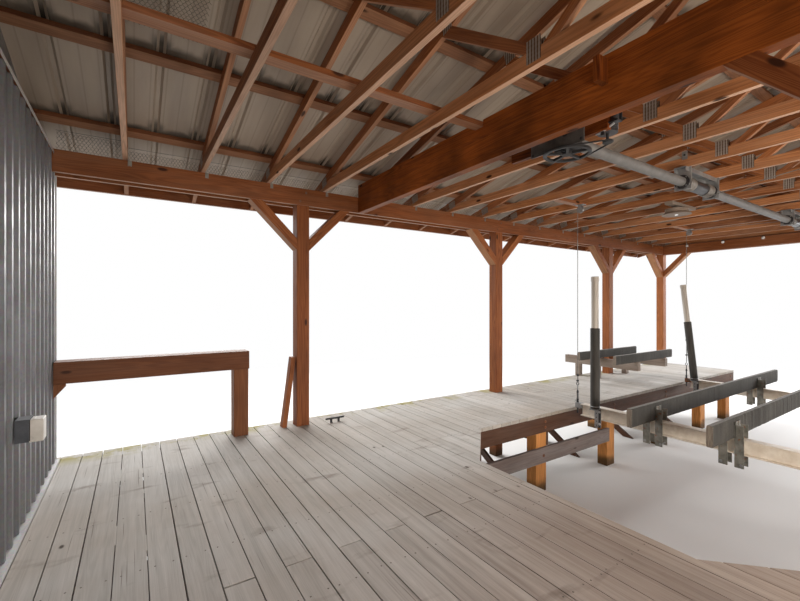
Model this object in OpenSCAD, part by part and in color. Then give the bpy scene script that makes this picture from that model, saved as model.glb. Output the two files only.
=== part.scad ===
// Two-slip timber boathouse on piles, with a cable boat lift in one slip.
// X runs along the slips, from the shore end to the lake end.
// Y runs across them, with the ridge of the roof over Y = 0.
// Z = 0 is the water line, where the posts and piles stand.

/* [Roof] */
// Length of a truss over its two heels
roof_span = 9144; // [8800:8:9400]
// Rise of the roof in each 12 of run
roof_rise = 3; // [2.5:0.25:3.5]
// Number of bays between the trusses
truss_bays = 17; // [16:1:18]
// Length of the truss tails beyond the heels
eave_overhang = 610; // [450:10:700]
// Length of the purlins beyond the end trusses
gable_overhang = 300; // [200:10:400]
// Gap between purlins along the level
purlin_gap = 900; // [700:10:950]
// Gap between the ribs of the roof sheets
roof_rib_gap = 305; // [250:5:400]
// Height of the ribs of the roof sheets
roof_rib_h = 19; // [12:1:30]
// Thickness modelled for all metal sheets
sheet_t = 2; // [1.5:0.5:3]

/* [Timber] */
// Width of a square post
post_w = 140; // [120:2:160]
// Thickness of a sawn board
board_t = 38; // [32:1:44]
// Depth of the small framing boards
small_h = 89; // [80:1:95]
// Depth of the rail board
rail_h = 140; // [120:2:160]
// Depth of headers, beams and joists
header_h = 184; // [170:2:200]
// Width of a pile along X
pile_w = 190; // [160:2:210]

/* [Frame] */
// Length of each of the two middle bays between posts
mid_bay = 3048; // [2900:4:3150]
// Length of the bay between posts at the lake end
end_bay = 2134; // [2000:2:2300]
// Length of the bay between posts at the shore wall
shore_bay = 2178; // [2050:2:2300]
// Height of the underside of the headers over the deck
headroom = 2404; // [2350:2:2500]
// Place of the cross beam along X
beam_x = -2358; // [-2500:2:-2250]
// Depth of the board that stands on the cross beam
beam_top_h = 140; // [120:2:150]
// Leg of a brace on the post rows
brace_leg = 490; // [400:5:560]
// Leg of a brace on a centre post
beam_brace_leg = 825; // [600:5:900]

/* [Deck] */
// Height of the deck over the water
deck_z = 954; // [900:2:1050]
// Deck beyond the outer faces of the posts
deck_ledge = 125; // [100:5:160]
// Deck beyond the centres of the lake end posts
deck_end_ledge = 270; // [200:10:350]
// Place of the closed end of the slips along X
slip_x = -2144; // [-2200:2:-2100]
// Half width of the finger deck between the slips
finger_half = 443; // [400:1:500]
// Clear width of each slip
slip_w = 2861; // [2800:1:2950]
// Leg of the cut corners at the closed end of the slips
corner_leg = 640; // [500:10:750]
// Distance between piles along the slips
pile_gap = 1524; // [1450:2:1580]
// Place of the last evenly spaced pile along X
last_pile_x = 4110; // [4050:5:4150]
// Slope of the slanted boards between the piles in degrees
pile_brace_pitch = 33; // [30:1:40]
// Depth of the lower stringer's top under the deck
stringer_drop = 406; // [400:2:440]

/* [Shore wall] */
// Width of the opening in the shore wall
entry_w = 1830; // [1400:10:2200]
// Gap between the ribs of the wall sheets
wall_rib_gap = 152; // [120:2:200]
// Height of the ribs of the wall sheets
wall_rib_h = 16; // [10:1:24]

/* [Railing and fittings] */
// Height of the railing over the deck
rail_top = 855; // [800:5:950]
// Place of the rail post along X
rail_post_x = -3692; // [-3800:2:-3600]

/* [Boat lift] */
// Height of the top of the lifting beams over the deck
lift_top = 70; // [40:2:100]
// Depth of a lifting beam
lift_beam_h = 144; // [130:2:160]
// Length of a bunk
bunk_len = 4530; // [4300:10:4900]
// Distance between the middles of the bunks
bunk_gap = 690; // [600:10:800]
// Height of a bunk
bunk_h = 190; // [160:2:210]
// Height of the guide poles over the deck
pole_top = 1655; // [1550:5:1750]
// Height of the pole sleeves over the deck
sleeve_top = 1036; // [950:2:1100]
// Lean of the second outer guide pole in degrees
pole_lean = 6; // [0:0.5:6]
// Diameter of the drive tube
tube_d = 84; // [76:2:90]

/* [Watercraft cradle] */
// Length of the cradle's bunks
ski_bunk_len = 1870; // [1700:10:2100]
// Height of the cross timbers over the deck
ski_timber_z = 225; // [180:5:260]

/* [Hidden] */
$fn = 32;
// Colours of the stained timber, the weathered timber and the metals
stained = "peru";
weathered = "silver";
galvanised = "lightslategray";
// Length by which cutting solids pass the faces that they cut
past = 10;
// Levels
deck_under = deck_z - board_t;
joist_under = deck_under - header_h;
cap_under = joist_under - header_h;
stringer_top = deck_z - stringer_drop;
header_under = deck_z + headroom;
plate_z = header_under + header_h;
// Places along X
frame_x = mid_bay + end_bay;
shore_x = -mid_bay - shore_bay;
post_xs = [shore_x, -mid_bay, 0, mid_bay, frame_x];
deck_x0 = shore_x - post_w / 2;
deck_x1 = frame_x + deck_end_ledge;
header_out = (post_w - board_t) / 2;
truss_gap = (frame_x - shore_x + 2 * header_out) / truss_bays;
truss_xs = [for (i = [0 : truss_bays]) shore_x - header_out + i * truss_gap];
// Piles along the slips, the last of them under the end of the deck
pile_xs = [for (i = [-4 : 0]) last_pile_x + i * pile_gap, deck_x1 - pile_w];
inner_pile_xs = [for (i = [0 : 4]) pile_xs[i]];
shore_cap_xs = [deck_x0 + post_w, slip_x - 400];
wall_in = shore_x + post_w / 2;
wall_face = wall_in + wall_rib_h + sheet_t;
// Gap left between boards of one sub-part that would touch, and between seated pieces
joint_gap = 3;
seat_gap = 0.3;
sill_h = 25;
wall_over = 150;
// Places across Y
half_span = roof_span / 2;
post_out = half_span + 16;
post_in = post_out - post_w;
post_mid = post_out - post_w / 2;
deck_y = post_out + deck_ledge;
stud_ys = [entry_w / 2, post_in / 2];
girt_zs = [20, 780, 1560];
runner_y = 2440;
slip_y0 = finger_half;
slip_y1 = finger_half + slip_w;
slip_mid = (slip_y0 + slip_y1) / 2;
pile_d = post_w;
shore_joist_ys = [for (k = [1 : 6]) k * post_in / 7];
shore_pile_ys = [for (k = [1, 3, 5]) shore_joist_ys[k] + board_t];
walk_joist_ys = [for (k = [1, 2]) slip_y1 + k * (post_out - slip_y1) / 3];
// Roof slope: height of the underside of the top chords over the plate, at a distance y from the ridge
pitch = atan(roof_rise / 12);
slope = roof_rise / 12;
chord_plumb = small_h / cos(pitch);
heel_rise = (post_out + board_t - half_span) * slope + seat_gap;
function chord_under(y) = plate_z + heel_rise + (half_span - y) * slope;
function chord_top(y) = chord_under(y) + chord_plumb;
eave_y = half_span + eave_overhang;
purlin_plumb = board_t / cos(pitch);
function purlin_top(y) = chord_top(y) + purlin_plumb + 2 * seat_gap;
sheet_out = eave_y + board_t + 30;
roof_x0 = -frame_x - gable_overhang;
roof_x1 = frame_x + gable_overhang;
purlin_ys = [for (k = [0 : 4]) 690 + k * purlin_gap];
edge_purlin_ys = [70, eave_y - small_h / 2 - 6];
// Lift: its four points hang near the edges of the slip, between the trusses that carry the two winders
winder_spans = [for (i = [8, 13]) [truss_xs[i], truss_xs[i + 1]]];
lift_inset = 132;
lift_xs = [for (span = winder_spans) span[1] - lift_inset];
winder_plate_t = 10;
winder_reach = 70;
bearing_t = 22;
drum_d = 110;
cable_half = slip_w / 2 - 44;
cable_ys = [slip_mid - cable_half, slip_mid + cable_half];
cable_d = 8;
beam_half = cable_half - 70;
beam_flange = 100;
lift_z1 = deck_z + lift_top;
lift_z0 = lift_z1 - lift_beam_h;
bunk_t = 52;
bunk_x0 = lift_xs[0] - 540;
bunk_mid = slip_mid + 120;
tube_y = slip_mid;
tube_z = plate_z - 132;
pulley_d = 70;
pulley_flange = 88;
pulley_z = plate_z - 62;
turnbuckle_h = 260;
sleeve_d = 108;
pole_d = 84;
// Guide poles stand beside the lifting beams, on the shore side
pole_strap_t = 8;
pole_out = beam_flange / 2 + pole_strap_t + sleeve_d / 2;
// Place and lean of each pole: beam number, distance from the middle of the slip, lean in degrees
pole_spots = [[0, beam_half - 232, 0], [1, beam_half - 90, pole_lean], [0, 232 - beam_half, 0],
    [1, 232 - beam_half, 0]];
// Radius of the cable's middle line round a pulley and round a drum
pulley_wrap = (pulley_d + cable_d) / 2 + seat_gap;
drum_wrap = (drum_d + cable_d) / 2 + seat_gap;
// The two cables of a winder leave its drum on either side of the line between their pulleys
drum_shift = 30;
// Drive of the lift, on a board behind the truss that follows the cross beam
motor_x = truss_xs[5] + board_t / 2 + seat_gap;
motor_face = motor_x + board_t + seat_gap;
motor_board_h = 235;
motor_ys = [tube_y - 333, tube_y + 427];
motor_plate_t = 8;
motor_y = tube_y - 270;
motor_d = 120;
wheel_x = motor_face + 40;
wheel_z = header_under - 48;
wheel_d = 310;
wheel_t = 18;
gearbox_w = 100;
// Watercraft cradle
ski_timber_h = 140;
ski_x0 = 1740;
ski_xs = [ski_x0 + 560, ski_x0 + ski_bunk_len - 385];

// One side and its mirror image across the ridge
module both_sides() {
    children();
    mirror([0, 1, 0])
        children();
}

// Box given by its two opposite corners
module block(low, high) {
    translate(low)
        cube(high - low);
}

// Board along a line in the XZ plane with both ends cut level and plumb by its outline
module plate_xz(points, y0, y1) {
    translate([0, y1, 0])
        rotate([90, 0, 0])
            linear_extrude(y1 - y0)
                polygon(points);
}

// Board whose outline lies in the YZ plane
module plate_yz(points, x0, x1) {
    translate([x0, 0, 0])
        rotate([90, 0, 90])
            linear_extrude(x1 - x0)
                polygon(points);
}

// Posts of both side rows, notched at the top for the inner header board
module side_posts() {
    color(stained)
        both_sides()
            for (x = post_xs)
                difference() {
                    block([x - post_w / 2, post_in, 0], [x + post_w / 2, post_out, plate_z]);
                    block([x - post_w, post_in - past, header_under],
                        [x + post_w, post_in + board_t, plate_z + past]);
                }
}

// Posts on the ridge line, under the cross beam and the lake header
module centre_posts() {
    color(stained)
        for (x = [beam_x, frame_x])
            block([x - post_w / 2, -post_w / 2, 0], [x + post_w / 2, post_w / 2, header_under]);
}

// Two header boards on each side, one let into the posts and one on their outer faces
module side_headers() {
    color(stained)
        both_sides()
            for (y = [post_in, post_out])
                block([shore_x - post_w / 2, y, header_under],
                    [frame_x + post_w / 2, y + board_t, plate_z]);
}

// Doubled beam between the side headers, and a board on edge on top of it, notched for the runners
module cross_beam() {
    color(stained) {
        block([beam_x - board_t / 2, -post_in, header_under],
            [beam_x + 1.5 * board_t, post_in, plate_z]);
        difference() {
            block([beam_x - board_t / 2, -post_in, plate_z + seat_gap],
                [beam_x + board_t / 2, post_in, plate_z + beam_top_h]);
            for (side = [-1, 1])
                block([beam_x - board_t, side * runner_y - small_h / 2 - joint_gap, plate_z + small_h - joint_gap],
                    [beam_x + board_t, side * runner_y + small_h / 2 + joint_gap, plate_z + beam_top_h + past]);
        }
    }
}

// Doubled headers across the shore wall and the lake end
module end_headers() {
    color(stained)
        for (x = [shore_x, frame_x], way = [-1, 1])
            block([x + way * header_out - board_t / 2, -post_in, header_under],
                [x + way * header_out + board_t / 2, post_in, plate_z]);
}

// Outline of a 45 degree brace from a post face at the origin out to the right and up to the beam
function brace_outline(leg) = [[0, -leg], [leg, 0], [leg - small_h * sqrt(2), 0], [0, -leg + small_h * sqrt(2)]];

// Braces in the planes of the two post rows
module side_braces() {
    color(stained)
        both_sides()
            for (i = [1 : 4], way = [-1, 1])
                if (i < 4 || way < 0)
                    translate([post_xs[i] + way * post_w / 2, 0, header_under])
                        plate_xz([for (p = brace_outline(brace_leg)) [way * p[0], p[1]]], post_in, post_out);
}

// Braces from the centre posts to the cross beam and the lake header, and from the corner posts to that header
module beam_braces() {
    color(stained)
        both_sides() {
            translate([0, post_w / 2, header_under])
                plate_yz(brace_outline(beam_brace_leg), beam_x - board_t / 2, beam_x + 1.5 * board_t);
            translate([0, post_w / 2, header_under])
                plate_yz(brace_outline(beam_brace_leg), frame_x - post_w / 2, frame_x + post_w / 2);
            translate([0, post_in, header_under])
                plate_yz([for (p = brace_outline(brace_leg)) [-p[0], p[1]]],
                    frame_x - post_w / 2, frame_x + post_w / 2);
        }
}

// Bottom chords of all trusses
module bottom_chords() {
    heel_z = chord_under(half_span) - seat_gap;
    color(stained)
        for (x = truss_xs)
            plate_yz([[-half_span, plate_z], [half_span, plate_z], [half_span, heel_z],
                [half_span - (plate_z + small_h - heel_z) / slope, plate_z + small_h],
                [(plate_z + small_h - heel_z) / slope - half_span, plate_z + small_h],
                [-half_span, heel_z]], x - board_t / 2, x + board_t / 2);
}

// Top chords from the ridge to the tails
module top_chords() {
    y0 = joint_gap / 2;
    color(stained)
        both_sides()
            for (x = truss_xs)
                plate_yz([[y0, chord_under(y0)], [eave_y, chord_under(eave_y)], [eave_y, chord_top(eave_y)],
                    [y0, chord_top(y0)]], x - board_t / 2, x + board_t / 2);
}

// Web of one truss side as a bar between the chords, cut level at its foot and to the slope at its head
module web(y0, y1) {
    foot = small_h * 0.55;
    plate_yz([[y0 - foot, plate_z + small_h], [y0 + foot, plate_z + small_h],
        [y1 + foot, chord_under(y1 + foot) - seat_gap], [y1 - foot, chord_under(y1 - foot) - seat_gap]],
        -board_t / 2, board_t / 2);
}

// Short webs that lean out from the third point of the span to the quarter point of the slope
module outer_webs() {
    color(stained)
        both_sides()
            for (x = truss_xs)
                translate([x, 0, 0])
                    web(roof_span / 6 + 60, roof_span / 4);
}

// Long webs that lean in from the third point of the span to the ridge
module inner_webs() {
    color(stained)
        both_sides()
            for (x = truss_xs)
                translate([x, 0, 0])
                    web(roof_span / 6 - 60, 75);
}

// Runners on the bottom chords that hold the trusses in line
module lateral_braces() {
    color(stained)
        both_sides()
            block([truss_xs[0] + board_t, runner_y - small_h / 2, plate_z + small_h],
                [truss_xs[truss_bays] + board_t / 2, runner_y + small_h / 2, plate_z + small_h + board_t]);
}

// Purlins laid flat on the top chords
module purlins() {
    color(stained)
        both_sides()
            for (y = concat(purlin_ys, edge_purlin_ys))
                translate([roof_x0, y, chord_top(y) + seat_gap])
                    rotate([-pitch, 0, 0])
                        translate([0, -small_h / 2, 0])
                            cube([roof_x1 - roof_x0, small_h, board_t]);
}

// Outline of a ribbed sheet across its ribs, from 0 to the given width
function rib_points(width, gap, height, lift) =
    [for (i = [0 : floor((width - gap * 0.6) / gap)], p = [[-30, 0], [-14, height], [14, height], [30, 0]])
        [gap * (i + 0.5) + p[0], p[1] + lift]];
function sheet_outline(width, gap, height) = concat([[0, sheet_t]], rib_points(width, gap, height, sheet_t),
    [[width, sheet_t], [width, 0]],
    [for (i = [floor((width - gap * 0.6) / gap) : -1 : 0],
        p = [[28, 0], [12, height], [-12, height], [-28, 0]]) [gap * (i + 0.5) + p[0], p[1]]], [[0, 0]]);

// Roof sheet of each side with its ribs up the slope
module roof_sheets() {
    y0 = 12;
    edge = 25;
    length = (sheet_out - y0) / cos(pitch);
    color("lightgray")
        both_sides()
            translate([roof_x0 - edge, y0, purlin_top(y0)])
                rotate([-pitch, 0, 0])
                    translate([0, length, 0])
                        rotate([90, 0, 0])
                            linear_extrude(length)
                                polygon(sheet_outline(roof_x1 - roof_x0 + 2 * edge, roof_rib_gap,
                                    roof_rib_h));
}

// Bent cap over the ridge, on the ribs of both sheets
module ridge_cap() {
    wing = 170;
    z0 = purlin_top(0) + (roof_rib_h + sheet_t) / cos(pitch) + seat_gap;
    color("lightgray")
        plate_yz([[-wing, z0 - wing * slope], [0, z0], [wing, z0 - wing * slope],
            [wing, z0 - wing * slope + sheet_t], [0, z0 + sheet_t], [-wing, z0 - wing * slope + sheet_t]],
            roof_x0 - 25, roof_x1 + 25);
}

// Boards over the ends of the truss tails
module eave_fascias() {
    color(stained)
        both_sides()
            block([roof_x0, eave_y, chord_under(eave_y) - 4],
                [roof_x1, eave_y + board_t, chord_top(eave_y)]);
}

// Sloping boards that close the ends of the purlins
module barge_boards() {
    depth = 150;
    color(stained)
        both_sides()
            for (x = [roof_x0 - board_t - seat_gap, roof_x1 + seat_gap])
                plate_yz([for (p = [[joint_gap, 0], [eave_y, 0], [eave_y, depth], [joint_gap, depth]])
                    [p[0], purlin_top(p[0]) - seat_gap - p[1]]], x, x + board_t);
}

// Triangles of upright sheet on both faces of the shore truss and on the outer face of the lake truss
module gable_sheets() {
    top_y = half_span - 150;
    gap = 4;
    color(galvanised)
        for (x = [truss_xs[0] - board_t / 2 - sheet_t, truss_xs[0] + board_t / 2 + seat_gap,
            truss_xs[truss_bays] + board_t / 2])
            plate_yz([[-top_y, plate_z], [top_y, plate_z], [top_y, chord_top(top_y) - gap],
                [0, chord_top(0) - gap], [-top_y, chord_top(top_y) - gap]], x, x + sheet_t);
}

// Studs of the shore wall, and the level boards between them behind the inner sheets
module wall_frame() {
    color(stained)
        both_sides()
            for (i = [0, 1]) {
                block([deck_x0, stud_ys[i], deck_z], [wall_in, stud_ys[i] + small_h, header_under]);
                for (z = girt_zs)
                    block([wall_in - board_t, stud_ys[i] + small_h + joint_gap, deck_z + z],
                        [wall_in, i == 0 ? stud_ys[1] - joint_gap : post_in, deck_z + z + small_h]);
            }
}

// Upright sheets on one face of the shore wall, at the given place, with ribs that stand out along X
module wall_sheets(x, way) {
    width = post_out - joint_gap - entry_w / 2;
    both_sides()
        difference() {
            translate([x, entry_w / 2, deck_z + sill_h])
                linear_extrude(headroom + wall_over - sill_h)
                    polygon([for (p = sheet_outline(width, wall_rib_gap, wall_rib_h)) [way * p[1], p[0]]]);
            block([x - post_w, post_in - joint_gap, header_under - joint_gap],
                [x + post_w, post_in + board_t + joint_gap, plate_z]);
        }
}

module wall_inner_sheets() {
    color(galvanised)
        wall_sheets(wall_in, 1);
}

module wall_outer_sheets() {
    color(galvanised)
        wall_sheets(deck_x0, -1);
}

// Corner strips at the outer ends of the wall, and strips along its foot and its top edge
module wall_trim() {
    depth = wall_rib_h + sheet_t;
    color("gainsboro")
        both_sides() {
            block([deck_x0 - depth, post_out, deck_z + sill_h],
                [wall_face, post_out + sheet_t, header_under - joint_gap]);
            block([wall_in, entry_w / 2, deck_z], [wall_face + 20, post_out, deck_z + sill_h]);
            block([wall_face, entry_w / 2, header_under + wall_over - 6],
                [wall_face + sheet_t, post_in - joint_gap, header_under + wall_over + 18]);
        }
}

// Weatherproof outlet box with its bubble cover, on the inner wall face
module outlet_box() {
    y = post_in - 1298;
    low = deck_z + 565;
    color("slategray")
        block([wall_face, y, low], [wall_face + 60, y + 110, low + 125]);
    color("whitesmoke")
        block([wall_face + 60, y + 8, low - 5], [wall_face + 120, y + 102, low + 120]);
}

// Holes for the posts that pass through a deck
module post_holes() {
    gap = 3;
    for (x = post_xs, side = [-1, 1])
        block([x - post_w / 2 - gap, side * post_mid - post_w / 2 - gap, deck_under - past],
            [x + post_w / 2 + gap, side * post_mid + post_w / 2 + gap, deck_z + past]);
    for (x = [beam_x, frame_x])
        block([x - post_w / 2 - gap, -post_w / 2 - gap, deck_under - past],
            [x + post_w / 2 + gap, post_w / 2 + gap, deck_z + past]);
}

// Deck from the shore wall to the closed end of the slips
module shore_deck() {
    color(weathered)
        difference() {
            block([deck_x0, -deck_y, deck_under], [slip_x, deck_y, deck_z]);
            post_holes();
        }
}

// Walkways outside the two slips
module walkways() {
    color(weathered)
        difference() {
            both_sides()
                block([slip_x, slip_y1, deck_under], [deck_x1, deck_y, deck_z]);
            post_holes();
        }
}

// Finger deck between the slips
module finger_deck() {
    color(weathered)
        difference() {
            block([slip_x, -finger_half, deck_under], [deck_x1, finger_half, deck_z]);
            post_holes();
        }
}

// Triangles of deck that fill the corners at the closed end of the slips
module corner_decks() {
    color(weathered)
        both_sides()
            for (c = [[slip_y0, 1], [slip_y1, -1]])
                translate([slip_x, c[0], deck_under])
                    linear_extrude(board_t)
                        polygon([[0, 0], [corner_leg, 0], [0, c[1] * corner_leg]]);
}

// Joists under the edges of the decks
module rim_joists() {
    z0 = joist_under;
    z1 = deck_under;
    slant = board_t * sqrt(2);
    color("sienna")
        both_sides() {
            block([deck_x0 + board_t, post_out, z0], [deck_x1, post_out + board_t, z1]);
            block([slip_x + joint_gap, slip_y1, z0], [deck_x1, slip_y1 + board_t, z1]);
            block([slip_x + joint_gap, slip_y0 - board_t, z0], [deck_x1, slip_y0, z1]);
            block([slip_x - board_t, slip_y0 - board_t, z0], [slip_x, slip_y1 + board_t, z1]);
            block([deck_x1 - board_t, slip_y1 + board_t + joint_gap, z0],
                [deck_x1, post_out - joint_gap, z1]);
            for (c = [[slip_y0, 1], [slip_y1, -1]])
                translate([slip_x, c[0], z0])
                    linear_extrude(header_h)
                        polygon([[corner_leg - joint_gap, c[1] * joint_gap],
                            [corner_leg - slant - joint_gap, c[1] * joint_gap],
                            [joint_gap, c[1] * (corner_leg - slant - joint_gap)],
                            [joint_gap, c[1] * (corner_leg - joint_gap)]]);
        }
}

// Joists under the middle of the decks
module deck_joists() {
    z0 = joist_under;
    z1 = deck_under;
    color("sienna") {
        both_sides() {
            for (y = walk_joist_ys)
                block([slip_x, y, z0], [deck_x1 - board_t, y + board_t, z1]);
            for (y = shore_joist_ys)
                block([deck_x0 + board_t + joint_gap, y, z0], [slip_x - board_t, y + board_t, z1]);
        }
        block([deck_x0, -post_in, z0], [deck_x0 + board_t, post_in, z1]);
    }
}

// Beams across the piles under the joists
module pile_caps() {
    color("sienna") {
        both_sides()
            for (x = pile_xs)
                block([x + pile_w / 2, slip_y1 + board_t, cap_under],
                    [x + pile_w / 2 + board_t, post_out, joist_under]);
        for (x = pile_xs)
            block([x + pile_w / 2, -finger_half + board_t, cap_under],
                [x + pile_w / 2 + board_t, finger_half - board_t, joist_under]);
        for (x = shore_cap_xs)
            block([x, -post_in, cap_under], [x + board_t, post_in, joist_under]);
    }
}

// Piles along the slip edges, under the outer edge and under the shore deck
module deck_piles() {
    color("burlywood")
        both_sides() {
            for (x = pile_xs)
                block([x - pile_w / 2, slip_y1 + board_t, 0],
                    [x + pile_w / 2, slip_y1 + board_t + pile_d, deck_under]);
            for (x = inner_pile_xs)
                block([x - pile_w / 2, post_in, 0], [x + pile_w / 2, post_out, deck_under]);
            for (x = pile_xs)
                block([x - pile_w / 2, finger_half - board_t - pile_d, 0],
                    [x + pile_w / 2, finger_half - board_t, deck_under]);
            for (x = shore_cap_xs, y = shore_pile_ys)
                block([x + board_t, y, 0], [x + board_t + pile_w, y + pile_d, deck_under]);
        }
}

// Low boards on the slip faces of the first piles
module lower_stringers() {
    color("rosybrown")
        both_sides()
            for (y = [slip_y0 - board_t, slip_y1])
                block([pile_xs[0] - pile_w / 2, y, stringer_top - header_h],
                    [pile_xs[2] - pile_w / 2, y + board_t, stringer_top]);
}

// Slanted boards from the tops of the outer piles down to the water line
module pile_braces() {
    low = cap_under - small_h / cos(pile_brace_pitch);
    run = 1 / tan(pile_brace_pitch);
    color("sienna")
        both_sides()
            for (x = inner_pile_xs)
                plate_yz([[post_out, cap_under], [post_out - cap_under * run, 0], [post_out - low * run, 0],
                    [post_out, low]], x - pile_w / 2 - board_t, x - pile_w / 2);
}

// Short post that ends the railing
module rail_post() {
    color(stained)
        block([rail_post_x - post_w / 2, post_in, deck_z],
            [rail_post_x + post_w / 2, post_out, deck_z + rail_top - board_t]);
}

// Rail board on edge with a flat cap, from the wall to the rail post
module rail() {
    x0 = wall_face;
    top = deck_z + rail_top;
    color(stained) {
        block([x0, post_in - board_t, top - board_t - rail_h],
            [rail_post_x + post_w / 2, post_in, top - board_t]);
        block([x0, post_in - board_t, top - board_t], [rail_post_x + post_w / 2, post_out, top]);
    }
}

// Short board that leans on the second post of the left row
module stub_board() {
    color(stained)
        translate([-mid_bay - post_w / 2, post_in + 30, deck_z])
            plate_xz([[-150, 0], [-100, 0], [0, 750], [-50, 750]], 0, small_h);
}

// Horn cleats on the slip edges and one on the outer edge
module cleat() {
    for (x = [-45, 45])
        translate([x, 0, 0])
            cylinder(h = 35, d = 26);
    translate([-110, 0, 45])
        rotate([0, 90, 0])
            cylinder(h = 220, d = 22);
}

module dock_cleats() {
    color("dimgray")
        for (p = [[-2700, post_in - 60], [1500, -slip_y1 - 150], [1500, slip_y0 - 120], [4300, -slip_y1 - 150]])
            translate([p[0], p[1], deck_z])
                cleat();
}

// Two low trestles on the left walkway, each a cross timber that reaches out over its two legs
module ski_trestles() {
    low = deck_z + ski_timber_z;
    color("tan")
        for (x = ski_xs) {
            block([x, slip_y1 + 280, low], [x + small_h, deck_y + 210, low + ski_timber_h]);
            for (y = [post_in - 190, deck_y - small_h])
                block([x, y, deck_z], [x + small_h, y + small_h, low]);
        }
}

// Two carpeted bunks on the trestles
module ski_bunks() {
    low = deck_z + ski_timber_z + ski_timber_h;
    color("dimgray")
        for (y = [slip_y1 + 330, post_in - 190])
            block([ski_x0, y, low], [ski_x0 + ski_bunk_len, y + bunk_t, low + ski_timber_h]);
}

// Flood light on a board under two bottom chords
module flood_light() {
    ends = [truss_xs[10] - board_t / 2, truss_xs[11] + board_t / 2];
    x = ends[0] + 212;
    y = 2520;
    z = plate_z - board_t;
    color(stained)
        block([ends[0], y - small_h / 2, z], [ends[1], y + small_h / 2, plate_z]);
    color("dimgray") {
        translate([x, y, z - 75])
            cylinder(h = 45, d = 250);
        translate([x, y, z - 30])
            cylinder(h = 30, d = 60);
    }
    color("white")
        translate([x, y, z - 105])
            cylinder(h = 30, d1 = 320, d2 = 260);
}

// Board behind a truss, down to the level of the headers, that carries the drive of the lift
module motor_board() {
    color(stained)
        block([motor_x, motor_ys[0], header_under],
            [motor_x + board_t, motor_ys[1], header_under + motor_board_h]);
}

// Cover plate of the drive, its gearbox at the end of the tube, and the motor upright beside it
module lift_motor() {
    plate_y = tube_y - 180;
    box_top = plate_z - 42;
    side_y = motor_ys[0] - 30;
    color("darkslategray")
        block([motor_x - motor_plate_t - seat_gap, plate_y, header_under - 23],
            [motor_x - seat_gap, plate_y + 416, plate_z - 2 * seat_gap]);
    color("dimgray") {
        block([motor_face, side_y, header_under + 60],
            [motor_face + motor_plate_t, tube_y + 236, box_top]);
        block([motor_face, tube_y - 75, header_under - 18],
            [motor_face + gearbox_w, tube_y + 75, box_top]);
        translate([motor_face + motor_plate_t + motor_d / 2, motor_y, header_under + 12])
            cylinder(h = 230, d = motor_d);
        translate([motor_face - 12, side_y, header_under + 42])
            cylinder(h = 130, d = 45);
    }
}

// Large spoked pulley under the gearbox, the small one under the motor and the belt round both
module drive_wheel() {
    spokes = 5;
    rim = 22;
    motor_axis_x = motor_face + motor_plate_t + motor_d / 2;
    small_d = 60;
    belt = 5;
    translate([wheel_x, tube_y, wheel_z]) {
        color("silver") {
            linear_extrude(wheel_t) {
                difference() {
                    circle(d = wheel_d);
                    circle(d = wheel_d - 2 * rim);
                }
                circle(d = 70);
                for (i = [0 : spokes - 1])
                    rotate(i * 360 / spokes)
                        translate([0, -9])
                            square([wheel_d / 2 - rim / 2, 18]);
            }
            cylinder(h = header_under - 18 - seat_gap - wheel_z, d = 28);
        }
    }
    color("silver")
        translate([motor_axis_x, motor_y, wheel_z]) {
            cylinder(h = wheel_t, d = small_d);
            cylinder(h = header_under + 12 - seat_gap - wheel_z, d = 18);
        }
    color("black")
        translate([0, 0, wheel_z + 4])
            linear_extrude(wheel_t - 8)
                difference() {
                    hull() {
                        translate([wheel_x, tube_y])
                            circle(d = wheel_d + 2 * belt);
                        translate([motor_axis_x, motor_y])
                            circle(d = small_d + 2 * belt);
                    }
                    hull() {
                        translate([wheel_x, tube_y])
                            circle(d = wheel_d - 1);
                        translate([motor_axis_x, motor_y])
                            circle(d = small_d - 1);
                    }
                }
}

// Drive tube of the lift with the two drums on it
module drive_tube() {
    x0 = motor_face + gearbox_w + seat_gap;
    x1 = winder_spans[1][1] + 40;
    color("silver")
        translate([x0, tube_y, tube_z])
            rotate([0, 90, 0])
                cylinder(h = x1 - x0, d = tube_d);
    color("dimgray")
        for (span = winder_spans)
            translate([span[0] + 2 * winder_plate_t, tube_y, tube_z])
                rotate([0, 90, 0])
                    cylinder(h = truss_gap - 4 * winder_plate_t - bearing_t, d = drum_d);
}

// End plate of a winder with its flanged bearing on the shore side
module winder_plate(x) {
    color("slategray")
        difference() {
            union() {
                block([x - winder_plate_t / 2, tube_y - winder_reach, tube_z - winder_reach],
                    [x + winder_plate_t / 2, tube_y + winder_reach, plate_z - seat_gap]);
                translate([x - winder_plate_t / 2 - bearing_t, tube_y, tube_z])
                    rotate([0, 90, 0])
                        cylinder(h = bearing_t + 1, d = tube_d + 40);
            }
            translate([x - 5 * past, tube_y, tube_z])
                rotate([0, 90, 0])
                    cylinder(h = 10 * past, d = tube_d + 2 * seat_gap);
        }
}

// Frames of the winders: a channel under two bottom chords with an end plate below each of them
module winder_frames() {
    half = 50;
    depth = 40;
    wall = 5;
    for (span = winder_spans) {
        color("slategray")
            difference() {
                block([span[0] - 60, tube_y - half, plate_z - seat_gap - depth],
                    [span[1] + 60, tube_y + half, plate_z - seat_gap]);
                block([span[0] - 60 - past, tube_y - half + wall, plate_z - seat_gap - depth - past],
                    [span[1] + 60 + past, tube_y + half - wall, plate_z - seat_gap - wall]);
            }
        for (x = span)
            winder_plate(x);
    }
}

// Boards laid between the bottom chords over the pulleys
module pulley_boards() {
    color(stained)
        for (span = winder_spans, y = cable_ys)
            block([span[0] + board_t / 2 + seat_gap, y - small_h / 2, plate_z],
                [span[1] - board_t / 2 - seat_gap, y + small_h / 2, plate_z + board_t]);
}

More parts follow.
